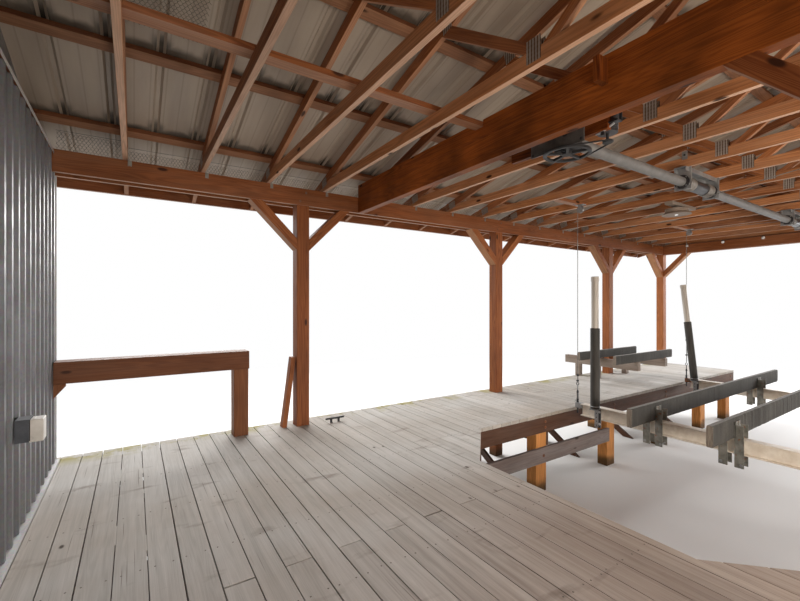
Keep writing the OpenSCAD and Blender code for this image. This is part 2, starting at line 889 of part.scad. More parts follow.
// Where the cable to a lift point leaves its drum: over the top on one side, from below on the other
function drum_point(i, y) =
    let (way = y > tube_y ? 1 : -1,
        run = [abs(y - tube_y), pulley_z - tube_z],
        climb = atan2(run[1], run[0]) - way * asin(drum_wrap / norm(run)))
    [lift_xs[i] - way * drum_shift, tube_y - sin(climb) * drum_wrap, tube_z + way * cos(climb) * drum_wrap];

// Bearing of that cable seen from above, and its climb to the pulley
function cable_turn(i, y) =
    let (from = drum_point(i, y))
    atan2(y - from[1], lift_xs[i] - from[0]);
function cable_climb(i, y) =
    let (from = drum_point(i, y),
        run = [norm([y - from[1], lift_xs[i] - from[0]]) - pulley_wrap, pulley_z - from[2]])
    atan2(run[1], run[0]) + asin(pulley_wrap / norm(run));

// Frame of reference at a pulley, with +X away from the drum
module at_pulley(i, y) {
    translate([lift_xs[i], y, pulley_z])
        rotate([0, 0, cable_turn(i, y)])
            translate([-pulley_wrap, 0, 0])
                children();
}

// Grooved pulleys under the bottom chords, each between two cheeks on a base plate
module lift_pulleys() {
    cheek_t = 6;
    cheek_y = 15;
    base_half = 60;
    r0 = pulley_d / 2;
    r1 = pulley_flange / 2;
    for (i = [0, 1], y = cable_ys)
        at_pulley(i, y) {
            color("silver")
                rotate([90, 0, 0])
                    rotate_extrude()
                        polygon([[0, -12], [r1, -12], [r1, -10], [r0, -5], [r0, 5], [r1, 10], [r1, 12],
                            [0, 12]]);
            color("dimgray") {
                rotate([90, 0, 0])
                    cylinder(h = 2 * (cheek_y + cheek_t), d = 16, center = true);
                for (way = [-1, 1])
                    translate([0, way * (cheek_y + cheek_t / 2), 0])
                        block([-20, -cheek_t / 2, -20], [20, cheek_t / 2, plate_z - pulley_z]);
                block([-base_half, -base_half / 2, plate_z - pulley_z - cheek_t],
                    [base_half, base_half / 2, plate_z - pulley_z]);
            }
        }
}

// Straight round bar between two points, ended a little before the second one
module bar(a, b, d, gap) {
    v = b - a;
    translate(a)
        rotate([0, acos(v[2] / norm(v)), atan2(v[1], v[0])])
            cylinder(h = norm(v) - gap, d = d);
}

// Cables from the drums up to the pulleys and round them
module fixed_cables() {
    color("gray")
        for (i = [0, 1], y = cable_ys) {
            climb = cable_climb(i, y);
            turn = cable_turn(i, y);
            back = pulley_wrap * (1 + sin(climb));
            at_pulley(i, y)
                rotate([90, 0, 0])
                    rotate_extrude(angle = 90 + climb)
                        translate([pulley_wrap, 0])
                            circle(d = cable_d);
            bar(drum_point(i, y), [lift_xs[i] - back * cos(turn), y - back * sin(turn),
                pulley_z + pulley_wrap * cos(climb)], cable_d, seat_gap);
        }
}

// Upright cables from the pulleys to the turnbuckles
module lift_cables() {
    color("gray")
        for (x = lift_xs, y = cable_ys)
            translate([x, y, lift_z1 + turnbuckle_h])
                cylinder(h = pulley_z - seat_gap - lift_z1 - turnbuckle_h, d = cable_d);
}

// Section of a lifting beam as an outline across it
function beam_outline() =
    let (half = beam_flange / 2, web = 5, flange_t = 10, top = lift_beam_h)
    [[-half, 0], [half, 0], [half, flange_t], [web, flange_t], [web, top - flange_t], [half, top - flange_t],
        [half, top], [-half, top], [-half, top - flange_t], [-web, top - flange_t], [-web, flange_t],
        [-half, flange_t]];

// Two lifting beams across the slip
module lift_beams() {
    color("lightgray")
        for (x = lift_xs)
            translate([x, 0, lift_z0])
                plate_xz(beam_outline(), slip_mid - beam_half, slip_mid + beam_half);
}

// Brackets on the ends of the lifting beams with the turnbuckles on them
module turnbuckles() {
    half = 30;
    depth = 60;
    color("dimgray")
        for (x = lift_xs, way = [0, 1])
            translate([x, slip_mid, lift_z1])
                mirror([0, way, 0]) {
                    block([-half, beam_half, -depth], [half, cable_half + 15, 0]);
                    translate([0, cable_half, 0])
                        cylinder(h = turnbuckle_h, d = 26);
                }
}

// Carpeted bunks on the lifting beams
module lift_bunks() {
    color("dimgray")
        for (way = [-1, 1])
            translate([bunk_x0, bunk_mid + way * bunk_gap / 2 - bunk_t / 2, lift_z1])
                cube([bunk_len, bunk_t, bunk_h]);
}

// Brackets that clamp the bunks to the lifting beams
module bunk_brackets() {
    strap_t = 8;
    color("slategray")
        for (x = lift_xs, way = [-1, 1], side = [0, 1])
            translate([x, bunk_mid + way * bunk_gap / 2, lift_z1])
                mirror([0, side, 0])
                    block([-45, bunk_t / 2, 0], [45, bunk_t / 2 + strap_t, 150]);
}

// Guide pole on a lifting beam, white above and sleeved below, cut level at its foot
module guide_pole(x, y, lean) {
    sleeve = sleeve_top - lift_top;
    translate([x, y, lift_z1])
        difference() {
            rotate([-lean, 0, 0]) {
                color("black")
                    translate([0, 0, -past])
                        cylinder(h = sleeve + past, d = sleeve_d);
                color("whitesmoke")
                    translate([0, 0, sleeve])
                        cylinder(h = pole_top - sleeve_top, d = pole_d);
            }
            block([-sleeve_d, -sleeve_d, -3 * past], [sleeve_d, sleeve_d, 0]);
        }
}

// Four guide poles near the ends of the lifting beams
module guide_poles() {
    for (spot = pole_spots)
        guide_pole(lift_xs[spot[0]] - pole_out, slip_mid + spot[1], spot[2]);
}

// Angled brackets that carry the guide poles beside the lifting beams
module pole_brackets() {
    shelf_t = 12;
    half = 40;
    drop = 90;
    color("slategray")
        for (spot = pole_spots)
            translate([lift_xs[spot[0]] - beam_flange / 2, slip_mid + spot[1], 0]) {
                block([-pole_strap_t, -half, lift_z0 - drop], [0, half, lift_z1]);
                block([-pole_strap_t - sleeve_d, -half, lift_z1 - shelf_t], [0, half, lift_z1]);
            }
}

side_posts();
centre_posts();
side_headers();
cross_beam();
end_headers();
side_braces();
beam_braces();
bottom_chords();
top_chords();
outer_webs();
inner_webs();
lateral_braces();
purlins();
roof_sheets();
ridge_cap();
eave_fascias();
barge_boards();
gable_sheets();
wall_frame();
wall_inner_sheets();
wall_outer_sheets();
wall_trim();
outlet_box();
shore_deck();
walkways();
finger_deck();
corner_decks();
rim_joists();
deck_joists();
pile_caps();
deck_piles();
lower_stringers();
pile_braces();
rail_post();
rail();
stub_board();
dock_cleats();
ski_trestles();
ski_bunks();
flood_light();
motor_board();
lift_motor();
drive_wheel();
drive_tube();
winder_frames();
pulley_boards();
lift_pulleys();
fixed_cables();
lift_cables();
turnbuckles();
lift_beams();
lift_bunks();
bunk_brackets();
guide_poles();
pole_brackets();
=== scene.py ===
# %% [markdown]
# # Dressing a boathouse
# The frame that this lesson starts from is an exact model of an open timber boathouse: posts, trusses,
# roof sheets, decks, piles and a cable boat lift. Here it gets what a camera sees: sawn boards with
# grain and knots, weathered decking, ribbed sheet, carpet, wire rope, plates, bolts and wear.
# Everything is in metres. X runs along the slips towards the lake, Y across them, and Z is up.

# %% Load the model
import math
import random

import bmesh
import bpy
from mathutils import Matrix, Vector, noise


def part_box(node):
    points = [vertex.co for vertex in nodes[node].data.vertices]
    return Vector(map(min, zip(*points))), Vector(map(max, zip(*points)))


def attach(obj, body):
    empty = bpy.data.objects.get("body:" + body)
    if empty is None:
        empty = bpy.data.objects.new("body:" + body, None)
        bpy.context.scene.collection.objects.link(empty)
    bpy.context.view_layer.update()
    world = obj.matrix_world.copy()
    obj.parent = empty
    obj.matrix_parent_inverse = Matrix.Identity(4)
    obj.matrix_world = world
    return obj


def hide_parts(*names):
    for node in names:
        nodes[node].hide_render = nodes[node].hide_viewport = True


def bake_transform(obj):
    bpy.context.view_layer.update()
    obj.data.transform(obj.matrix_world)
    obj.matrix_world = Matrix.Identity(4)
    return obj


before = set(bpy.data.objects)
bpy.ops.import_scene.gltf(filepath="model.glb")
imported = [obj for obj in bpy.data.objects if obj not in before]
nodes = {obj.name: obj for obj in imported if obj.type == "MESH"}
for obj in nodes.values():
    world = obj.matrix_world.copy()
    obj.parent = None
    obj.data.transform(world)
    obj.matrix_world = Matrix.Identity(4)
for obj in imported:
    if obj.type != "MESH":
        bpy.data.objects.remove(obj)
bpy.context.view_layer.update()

# %% [markdown]
# ## Camera
# The picture was taken standing on the shore deck near the middle of the building, at about 1.3 m over
# the boards, with the camera held level. Its two level vanishing points gave the turn and the lens. A
# little shift puts the horizon where the picture has it, a few pixels under the middle of the frame.

# %% Place the camera
scene = bpy.context.scene
camera = bpy.data.objects.new("camera", bpy.data.cameras.new("camera"))
scene.collection.objects.link(camera)
PICTURE_WIDTH, FOCAL_LENGTH, HORIZON_SHIFT = 800, 406, 3.5  # in pixels
SENSOR = 36
LOOKS_ALONG = (0.5476, 0.8368)
camera.data.sensor_width = SENSOR
camera.data.lens = FOCAL_LENGTH / PICTURE_WIDTH * SENSOR
camera.data.shift_y = HORIZON_SHIFT / PICTURE_WIDTH
camera.location = (-4.592, 0.158, 2.281)
camera.rotation_euler = (math.radians(90), 0, -math.atan2(*LOOKS_ALONG))
scene.camera = camera
print("lens", round(camera.data.lens, 2), "mm")

# %% [markdown]
# ## A way to write materials
# Each finish is a short chain of shader nodes. The small class below adds one node at a time and hands
# back its output, so a finish reads from top to bottom as its maker would describe it: where on the
# board am I, how does the grain run, where are the knots, how is the stain worn.


# %% A recipe for a finish
class Finish:
    """One material. add() makes a node, fills its inputs and returns one of its outputs."""

    def __init__(self, name, roughness=0.6, metallic=0.0):
        self.material = bpy.data.materials.new(name)
        self.material.use_nodes = True
        self.tree = self.material.node_tree
        self.shader = self.tree.nodes["Principled BSDF"]
        self.shader.inputs["Roughness"].default_value = roughness
        self.shader.inputs["Metallic"].default_value = metallic

    def add(self, kind, inputs=None, out=0, **settings):
        """A node with its settings and inputs, of which the output out is handed back."""
        node = self.tree.nodes.new("ShaderNode" + kind)
        for key, value in settings.items():
            setattr(node, key, value)
        for key, value in (inputs or {}).items():
            if isinstance(value, bpy.types.NodeSocket):
                self.tree.links.new(value, node.inputs[key])
            else:
                node.inputs[key].default_value = value
        return node.outputs[out]

    def math(self, operation, a, b=0.0, c=0.0):
        return self.add("Math", {0: a, 1: b, 2: c}, operation=operation)

    def ramp(self, value, stops, smooth=False):
        """Colours or greys by value. stops are (place, grey or colour)."""
        node = self.tree.nodes.new("ShaderNodeValToRGB")
        self.tree.links.new(value, node.inputs[0])
        line = node.color_ramp
        line.interpolation = "EASE" if smooth else "LINEAR"
        while len(line.elements) < len(stops):
            line.elements.new(0.5)
        for element, (place, colour) in zip(line.elements, stops):
            element.position = place
            colour = (colour,) * 3 if isinstance(colour, (int, float)) else colour
            element.color = (*colour, 1)
        return node.outputs["Color"]

    def blend(self, how_much, first, second, way="MIX"):
        node = self.tree.nodes.new("ShaderNodeMix")
        node.data_type, node.blend_type = "RGBA", way
        for index, value in ((0, how_much), (6, first), (7, second)):
            if isinstance(value, bpy.types.NodeSocket):
                self.tree.links.new(value, node.inputs[index])
            elif index == 0:
                node.inputs[index].default_value = value
            else:
                node.inputs[index].default_value = (*value, 1)
        return node.outputs[2]

    def stretch(self, vector, scale, place=(0, 0, 0)):
        return self.add("Mapping", {"Vector": vector, "Scale": scale, "Location": place})

    def noise(self, vector, scale, detail=3.0, rough=0.55, twist=0.0):
        return self.add("TexNoise", {"Vector": vector, "Scale": scale, "Detail": detail,
                                     "Roughness": rough, "Distortion": twist})

    def place(self):
        return self.add("TexCoord", out="Object")

    def board(self):
        """The place on the point's own board, with the grain first, and the tone of that board."""
        return (self.add("Attribute", out="Vector", attribute_name="grain"),
                self.add("Attribute", out="Fac", attribute_name="tone"))

    def knots(self, along, scale, share, inside, outside):
        """1 in the knots. Of the cells of a pattern this share has one, with these two radii."""
        cells = self.add("TexVoronoi", {"Vector": self.stretch(along, scale), "Scale": 1.0}, out="Distance")
        there = self.math("LESS_THAN", self.add("SeparateColor", {0: cells.node.outputs["Color"]}), share)
        return self.math("MULTIPLY", self.ramp(cells, [(inside, 1.0), (outside, 0.0)], True), there)

    def axis(self, vector, name):
        """One of X, Y and Z of a vector."""
        return self.add("SeparateXYZ", {0: vector}, out=name)

    def faces_down(self):
        """1 on faces that look down."""
        return self.math("LESS_THAN", self.axis(self.add("NewGeometry", out="Normal"), "Z"), -0.7)

    def colour(self, value):
        self.tree.links.new(value, self.shader.inputs["Base Color"])

    def roughness(self, value):
        self.tree.links.new(value, self.shader.inputs["Roughness"])

    def bump(self, height, depth, strength=1.0, after=None):
        """Bump of the given depth in metres. Bumps can follow each other."""
        inputs = {"Height": height, "Distance": depth, "Strength": strength}
        if after is not None:
            inputs["Normal"] = after
        normal = self.add("Bump", inputs)
        self.tree.links.new(normal, self.shader.inputs["Normal"])
        return normal


print("finishes can be written")

# %% [markdown]
# ## Light and floor
# An object that stands under its own roof needs light from low down and from the sides. The world is an
# even soft white, and the camera, mirrors and glass see a plain white behind the building. Large soft
# lamps outside the open sides stand in for a bright day over water, and two warm ones low over the
# shore deck light the faces of the trusses that look back at the camera.

# %% Light the scene
scene.view_settings.view_transform = "Standard"


def seen_rays(tree):
    """1 for what the camera sees directly, in a mirror or through glass."""
    path = tree.nodes.new("ShaderNodeLightPath")
    value = path.outputs["Is Camera Ray"]
    for kind in ("Is Glossy Ray", "Is Transmission Ray"):
        either = tree.nodes.new("ShaderNodeMath")
        either.operation = "MAXIMUM"
        tree.links.new(value, either.inputs[0])
        tree.links.new(path.outputs[kind], either.inputs[1])
        value = either.outputs[0]
    return value


world = bpy.data.worlds.new("studio")
scene.world = world
world.use_nodes = True
tree = world.node_tree
tree.nodes.clear()
mix = tree.nodes.new("ShaderNodeMixShader")
tree.links.new(seen_rays(tree), mix.inputs[0])
SKY_LIGHT, PLAIN_WHITE = 0.68, 1.0
for index, strength in ((1, SKY_LIGHT), (2, PLAIN_WHITE)):
    background = tree.nodes.new("ShaderNodeBackground")
    background.inputs["Color"].default_value = (1, 1, 1, 1)
    background.inputs["Strength"].default_value = strength
    tree.links.new(background.outputs[0], mix.inputs[index])
tree.links.new(mix.outputs[0], tree.nodes.new("ShaderNodeOutputWorld").inputs["Surface"])


def soft_lamp(name, place, aim, size, watts, colour=(1, 1, 1)):
    """A square lamp at place that faces aim."""
    lamp = bpy.data.lights.new(name, "AREA")
    lamp.shape, lamp.size, lamp.energy, lamp.color = "SQUARE", size, watts, colour
    holder = bpy.data.objects.new(name, lamp)
    scene.collection.objects.link(holder)
    holder.location = place
    holder.rotation_euler = (Vector(aim) - Vector(place)).to_track_quat("-Z", "Y").to_euler()


WARM = (1, 0.88, 0.74)
soft_lamp("lake_light", (15, 1, 6.0), (0, 1, 1.0), 9, 1800)
soft_lamp("left_light", (-1, 14, 7.5), (-1, 1, 1.0), 9, 1850, (1, 0.99, 0.97))
soft_lamp("right_light", (0, -14, 6.5), (0, 0, 1.0), 9, 2300, (1, 0.98, 0.94))
soft_lamp("room_light", (-2.2, -2.2, 1.65), (3.5, 1.8, 3.8), 1.0, 160, WARM)
soft_lamp("shore_light", (-4.35, -1.8, 1.40), (-2.4, 3.0, 3.8), 0.6, 38, WARM)

# %% [markdown]
# The floor is pale and keeps the shadow under the piles. Far from the building it goes over into the
# plain white of the backdrop. What bounces off it up to the ceiling is less, as from water.

# %% Lay the floor
bm = bmesh.new()
bmesh.ops.create_grid(bm, x_segments=1, y_segments=1, size=60)
floor_mesh = bpy.data.meshes.new("floor")
bm.to_mesh(floor_mesh)
bm.free()
floor = bpy.data.objects.new("floor", floor_mesh)
scene.collection.objects.link(floor)
floor.location.z = -0.002
ground = Finish("floor_paint", 0.9)
ground.shader.inputs["Base Color"].default_value = (0.86, 0.86, 0.86, 1)
distance = ground.add("VectorMath", {0: ground.place()}, out="Value", operation="LENGTH")
far = ground.ramp(ground.math("MULTIPLY", distance, 0.02), [(0.13, 0), (0.30, 1)], True)
backdrop = ground.add("MixShader", {0: far, 1: ground.shader.outputs[0],
                                    2: ground.add("Emission", {1: PLAIN_WHITE})})
bounce = ground.add("BsdfDiffuse", {0: (0.42, 0.37, 0.31, 1)})
surface = ground.add("MixShader", {0: seen_rays(ground.tree), 1: bounce, 2: backdrop})
ground.tree.links.new(surface, ground.tree.nodes["Material Output"].inputs["Surface"])
floor_mesh.materials.append(ground.material)
print("floor laid")

# %% [markdown]
# ## Making pieces
# New pieces are built from a few shapes: bricks, round bars and rings, made with bmesh operators and
# gathered in one bmesh. Round parts are shaded smooth, with every edge of more than 35 degrees kept
# sharp, so that flat ends stay flat. The last helper turns a bmesh into an object that rides on a body.


# %% Bricks, bars and rings
def mark(verts, m):
    """Puts the faces round these points in material m."""
    for face in {f for v in verts for f in v.link_faces}:
        face.material_index = m


def brick(bm, low, high, m=0, turn=None):
    """A block between two corners, in material m, turned by a matrix if one is given."""
    low, high = Vector(low), Vector(high)
    place = Matrix.Translation((low + high) / 2) @ Matrix.Diagonal((*(high - low), 1))
    mark(bmesh.ops.create_cube(bm, size=1.0, matrix=turn @ place if turn else place)["verts"], m)


def rod(bm, a, b, radius, sides=12, m=0, end=None, caps=True):
    """A round bar from a to b. end is its radius at b if it tapers."""
    a, b = Vector(a), Vector(b)
    turn = (b - a).to_track_quat("Z", "Y").to_matrix().to_4x4()
    mark(bmesh.ops.create_cone(
        bm, cap_ends=caps, segments=sides, radius1=radius, radius2=radius if end is None else end,
        depth=(b - a).length, matrix=Matrix.Translation((a + b) / 2) @ turn)["verts"], m)


def ring(bm, centre, axis, radius, wire, steps=20, sides=6, m=0, sweep=360, start=None):
    """A bent round wire about an axis, closed when the sweep is 360 degrees."""
    before = set(bm.faces)
    centre, axis = Vector(centre), Vector(axis).normalized()
    out = Vector(start) if start else axis.orthogonal().normalized()
    turn = Matrix((out, axis, out.cross(axis))).transposed().to_4x4()
    first = bmesh.ops.create_circle(bm, segments=sides, radius=wire,
                                    matrix=Matrix.Translation(centre + out * radius) @ turn)["verts"]
    edges = list({e for v in first for e in v.link_edges})
    bmesh.ops.spin(bm, geom=first + edges, cent=centre, axis=axis, angle=math.radians(sweep), steps=steps,
                   use_merge=sweep == 360)
    for face in set(bm.faces) - before:
        face.material_index = m


def bolt(bm, place, way, radius=0.011, thick=0.008, m=0, washer=0.0):
    """A hexagon head at place that stands out along way, on a washer if one is asked for."""
    place, way = Vector(place), Vector(way).normalized()
    if washer:
        rod(bm, place, place + way * 0.0025, washer, 12, m)
    rod(bm, place, place + way * thick, radius, 6, m)


# %% Copies and finished pieces
SMOOTH_UNDER, ROUND_OVER = math.radians(35), math.radians(25)


def scatter(unit, places, target):
    """Copies of a small bmesh at each matrix, added to the target."""
    pattern = bpy.data.meshes.new("pattern")
    unit.to_mesh(pattern)
    unit.free()
    for place in places:
        one = pattern.copy()
        one.transform(place)
        target.from_mesh(one)
        bpy.data.meshes.remove(one)
    bpy.data.meshes.remove(pattern)
    return target


def add_bmesh(target, source):
    """Adds a bmesh to another one and frees it."""
    mesh = bpy.data.meshes.new("passing")
    source.to_mesh(mesh)
    source.free()
    target.from_mesh(mesh)
    bpy.data.meshes.remove(mesh)


def new_piece(name, bm, finishes, body, *stands_for, slot=None, round_parts=False):
    """A finished object from a bmesh. It rides on the body, if one is given, and stands for the nodes."""
    bmesh.ops.recalc_face_normals(bm, faces=bm.faces)
    if round_parts:
        for face in bm.faces:
            face.smooth = True
        for edge in bm.edges:
            edge.smooth = len(edge.link_faces) == 2 and edge.calc_face_angle(0) < SMOOTH_UNDER
    mesh = bpy.data.meshes.new(name)
    bm.to_mesh(mesh)
    bm.free()
    piece = bpy.data.objects.new(name, mesh)
    scene.collection.objects.link(piece)
    for finish in finishes if isinstance(finishes, (list, tuple)) else [finishes]:
        mesh.materials.append(finish)
    if body:
        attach(piece, body)
    if stands_for:
        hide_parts(*stands_for)
    return piece


def node_bmesh(*names):
    """The named nodes as one welded bmesh with whole flat faces."""
    bm = bmesh.new()
    for name in names:
        bm.from_mesh(nodes[name].data)
    bmesh.ops.remove_doubles(bm, verts=bm.verts, dist=2e-5)
    bmesh.ops.dissolve_limit(bm, angle_limit=math.radians(0.4), verts=bm.verts, edges=bm.edges)
    return bm


def round_edges(bm, width, segments=2, edges=None):
    """Bevels the given edges, or else every sharp one."""
    if edges is None:
        edges = [e for e in bm.edges if len(e.link_faces) == 2 and e.calc_face_angle(0) > ROUND_OVER]
    bmesh.ops.bevel(bm, geom=edges, offset=width, offset_type="OFFSET", segments=segments, profile=0.5,
                    affect="EDGES", material=-1, clamp_overlap=True)


def cut_away(bm, point, normal):
    """Takes off what lies beyond a plane, on its normal's side, and closes the cut."""
    cut = bmesh.ops.bisect_plane(bm, geom=bm.verts[:] + bm.edges[:] + bm.faces[:], dist=1e-6,
                                 plane_co=point, plane_no=normal, clear_outer=True)
    rim = [e for e in cut["geom_cut"] if isinstance(e, bmesh.types.BMEdge) and e.is_boundary]
    if rim:
        bmesh.ops.holes_fill(bm, edges=rim)


def separate_solids(bm):
    """The groups of faces that hang together, sorted by their corners."""
    left, groups = set(bm.faces), []
    while left:
        stack, group = [left.pop()], []
        while stack:
            face = stack.pop()
            group.append(face)
            for edge in face.edges:
                for other in edge.link_faces:
                    if other in left:
                        left.remove(other)
                        stack.append(other)
        groups.append(group)
    return sorted(groups, key=lambda group: [round(c, 4) for corner in reach(group) for c in corner])


def reach(group):
    """Lowest and highest corner of a group of faces."""
    points = [v.co for face in group for v in face.verts]
    return (Vector([min(p[i] for p in points) for i in range(3)]),
            Vector([max(p[i] for p in points) for i in range(3)]))


def dress(node, finishes, width, choose=None, body="boathouse", slot=None, more=None):
    """A copy of a node with small bevels. choose gives the finish's number from a solid's corners."""
    bm = node_bmesh(node)
    round_edges(bm, width, 1)
    if choose:
        for group in separate_solids(bm):
            m = choose(*reach(group))
            for face in group:
                face.material_index = m
    if more:
        more(bm)
    new_piece(node + "_dressed", bm, finishes, body, node, slot=slot, round_parts=True)


print("helpers ready")

# %% [markdown]
# ## Sawn timber
# A sawn board shows long growth rings, finer fibres, a few knots and a slow change of tone where the
# stain soaked in. The pattern has to run along each board, whichever way the board lies. So every board
# carries its own grain coordinates as an attribute: the first number runs along the board, and a random
# start makes each board a different piece of the tree. A second attribute gives each board its tone.
# Undersides are painted paler, as painted light bounced up from below, and the feet of posts and piles
# are dark with water.


# %% The timber finish
def timber(name, pale, dark, knot, painted_underlight=None, blotch=0.5, rough=0.55, worn=0.0,
           grey=(0.33, 0.30, 0.27), knots=0.30, wet=False, painted_underlight_mix=0.75):
    """Sawn wood. The colour for undersides is painted light from below, worn mixes in grey, wet darkens the
    feet.
    """
    f = Finish(name)
    f.shader.inputs["Specular IOR Level"].default_value = 0.22
    along, tone = f.board()
    place = f.place()
    rings = f.noise(f.stretch(along, (0.55, 13, 13)), 1.0, 2.0, 0.5, 0.35)
    lines = f.math("MULTIPLY_ADD", f.math("SINE", f.math("MULTIPLY", rings, 95.0)), 0.5, 0.5)
    fibres = f.noise(f.stretch(along, (5, 260, 260)), 1.0, 2.0, 0.6)
    streaks = f.noise(f.stretch(along, (0.7, 26, 26)), 1.0, 3.0, 0.6)
    level = f.math("MULTIPLY_ADD", lines, 0.34, f.math("MULTIPLY", streaks, 0.62))
    level = f.math("MULTIPLY_ADD", f.math("SUBTRACT", tone, 0.5), 0.55, level)
    level = f.ramp(level, [(0.12, 0), (0.85, 1)])
    wood = f.blend(level, dark, pale)
    # Painted light: faces that look down get a paler colour, as if lit by light bounced up from below.
    if painted_underlight:
        underlit_wood = f.blend(level, tuple(c * 0.62 for c in painted_underlight), painted_underlight)
        patch = f.ramp(f.noise(f.stretch(along, (1.1, 9, 9)), 1.0, 3.0),
                       [(0.3, painted_underlight_mix), (0.75, painted_underlight_mix * 0.55)])
        wood = f.blend(f.math("MULTIPLY", f.faces_down(), patch), wood, underlit_wood)
    wood = f.blend(f.math("MULTIPLY", f.math("SUBTRACT", fibres, 0.42), 0.9), wood, dark)
    soaked = f.ramp(f.noise(place, 1.7, 3.0), [(0.35, 1.0), (0.7, 1 - 0.45 * blotch)])
    wood = f.blend(1.0, wood, soaked, "MULTIPLY")
    if worn:
        greyed = f.ramp(f.noise(f.stretch(along, (0.9, 7, 7)), 1.0, 4.0, 0.65), [(0.40, 0), (0.72, worn)])
        wood = f.blend(greyed, wood, grey)
    wood = f.blend(f.knots(along, (3.1, 8.5, 8.5), knots, 0.085, 0.17), wood, knot)
    if wet:
        height = f.math("MULTIPLY_ADD", f.noise(place, 7.0, 3.0), 0.12, f.axis(place, "Z"))
        wood = f.blend(f.ramp(height, [(0.10, 0.85), (0.24, 0.0)], True), wood, (0.035, 0.028, 0.012))
    f.colour(wood)
    f.roughness(f.ramp(streaks, [(0.2, rough - 0.1), (0.8, rough + 0.18)]))
    first = f.bump(lines, 0.0006, 0.35)
    f.bump(fibres, 0.0007, 0.5, first)
    return f.material


# After the name: the colours of pale wood, dark wood and knots. The undersides' colour, where given,
# is painted light from below.
stained = timber("stained_timber", (0.50, 0.185, 0.065), (0.23, 0.066, 0.020), (0.055, 0.018, 0.008),
                 painted_underlight=(0.66, 0.40, 0.24), wet=True)
header_wood = timber("header_timber", (0.37, 0.125, 0.042), (0.18, 0.054, 0.017), (0.05, 0.017, 0.008),
                     painted_underlight=(0.74, 0.54, 0.41), worn=0.30, grey=(0.32, 0.19, 0.12))
truss_wood = timber("truss_timber", (0.50, 0.19, 0.070), (0.20, 0.062, 0.020), (0.05, 0.018, 0.008),
                    painted_underlight=(0.62, 0.37, 0.24), worn=0.25, grey=(0.44, 0.27, 0.18), knots=0.4)
chord_wood = timber("chord_timber", (0.66, 0.29, 0.120), (0.24, 0.080, 0.028), (0.05, 0.018, 0.008),
                    painted_underlight=(0.86, 0.62, 0.48), worn=0.35, grey=(0.56, 0.37, 0.26), knots=0.4, painted_underlight_mix=0.95)
rail_wood = timber("rail_timber", (0.27, 0.100, 0.038), (0.14, 0.045, 0.016), (0.05, 0.017, 0.008),
                   worn=0.25, grey=(0.25, 0.15, 0.10))
purlin_wood = timber("purlin_timber", (0.24, 0.090, 0.038), (0.11, 0.036, 0.014), (0.04, 0.015, 0.008),
                     painted_underlight=(0.52, 0.28, 0.16), worn=0.2, grey=(0.26, 0.15, 0.10), knots=0.4)
beam_wood = timber("beam_timber", (0.54, 0.150, 0.024), (0.15, 0.033, 0.006), (0.045, 0.014, 0.006),
                   painted_underlight=(0.36, 0.15, 0.055), blotch=1.5, knots=0.4, painted_underlight_mix=0.4)
rim_wood = timber("rim_boards", (0.135, 0.062, 0.035), (0.068, 0.028, 0.015), (0.035, 0.015, 0.009),
                  worn=0.40, grey=(0.16, 0.115, 0.095))
low_wood = timber("low_boards", (0.32, 0.265, 0.25), (0.18, 0.14, 0.13), (0.06, 0.04, 0.03),
                  worn=0.6, grey=(0.31, 0.295, 0.30))
pile_wood = timber("pile_timber", (0.80, 0.37, 0.12), (0.42, 0.16, 0.045), (0.07, 0.025, 0.01),
                   knots=0.6, wet=True)
pale_wood = timber("weathered_board", (0.45, 0.375, 0.32), (0.24, 0.185, 0.15), (0.06, 0.045, 0.035),
                   worn=0.7)
print("timber finishes written")

# %% [markdown]
# The frame's boards are plain exact blocks with knife edges. Real boards leave the saw with a small
# round on every long edge, which catches light. A copy of each node is welded, its flat faces are
# joined, and its edges are bevelled. Then every separate board in the copy is found, its longest edge
# gives the way of the grain, and its points get their grain coordinates.

# %% Turn nodes into boards
chance = random.Random(7)


def grain_along(bm, direction=None):
    """Writes the grain and tone attributes, board by board."""
    grain = bm.verts.layers.float_vector.new("grain")
    tone = bm.verts.layers.float.new("tone")
    for group in separate_solids(bm):
        corners = {v for face in group for v in face.verts}
        if direction is None:
            longest = max({e for face in group for e in face.edges},
                          key=lambda e: round(e.calc_length(), 4))
            run = (longest.verts[1].co - longest.verts[0].co).normalized()
            run = run if max(run, key=abs) > 0 else -run
        else:
            run = Vector(direction)
        side = Vector((1, 0, 0)) if abs(run.z) > 0.95 else run.cross(Vector((0, 0, 1))).normalized()
        up = run.cross(side)
        start = Vector([chance.uniform(0, 40) for _ in range(3)])
        shade = chance.random()
        for v in corners:
            v[grain] = Vector((v.co.dot(run), v.co.dot(side), v.co.dot(up))) + start
            v[tone] = shade


def boards_from(node, finish, slot, width):
    """A copy of a node as boards with rounded edges."""
    bm = node_bmesh(node)
    round_edges(bm, width)
    grain_along(bm)
    new_piece(node + "_boards", bm, finish, "boathouse", node, slot=slot)


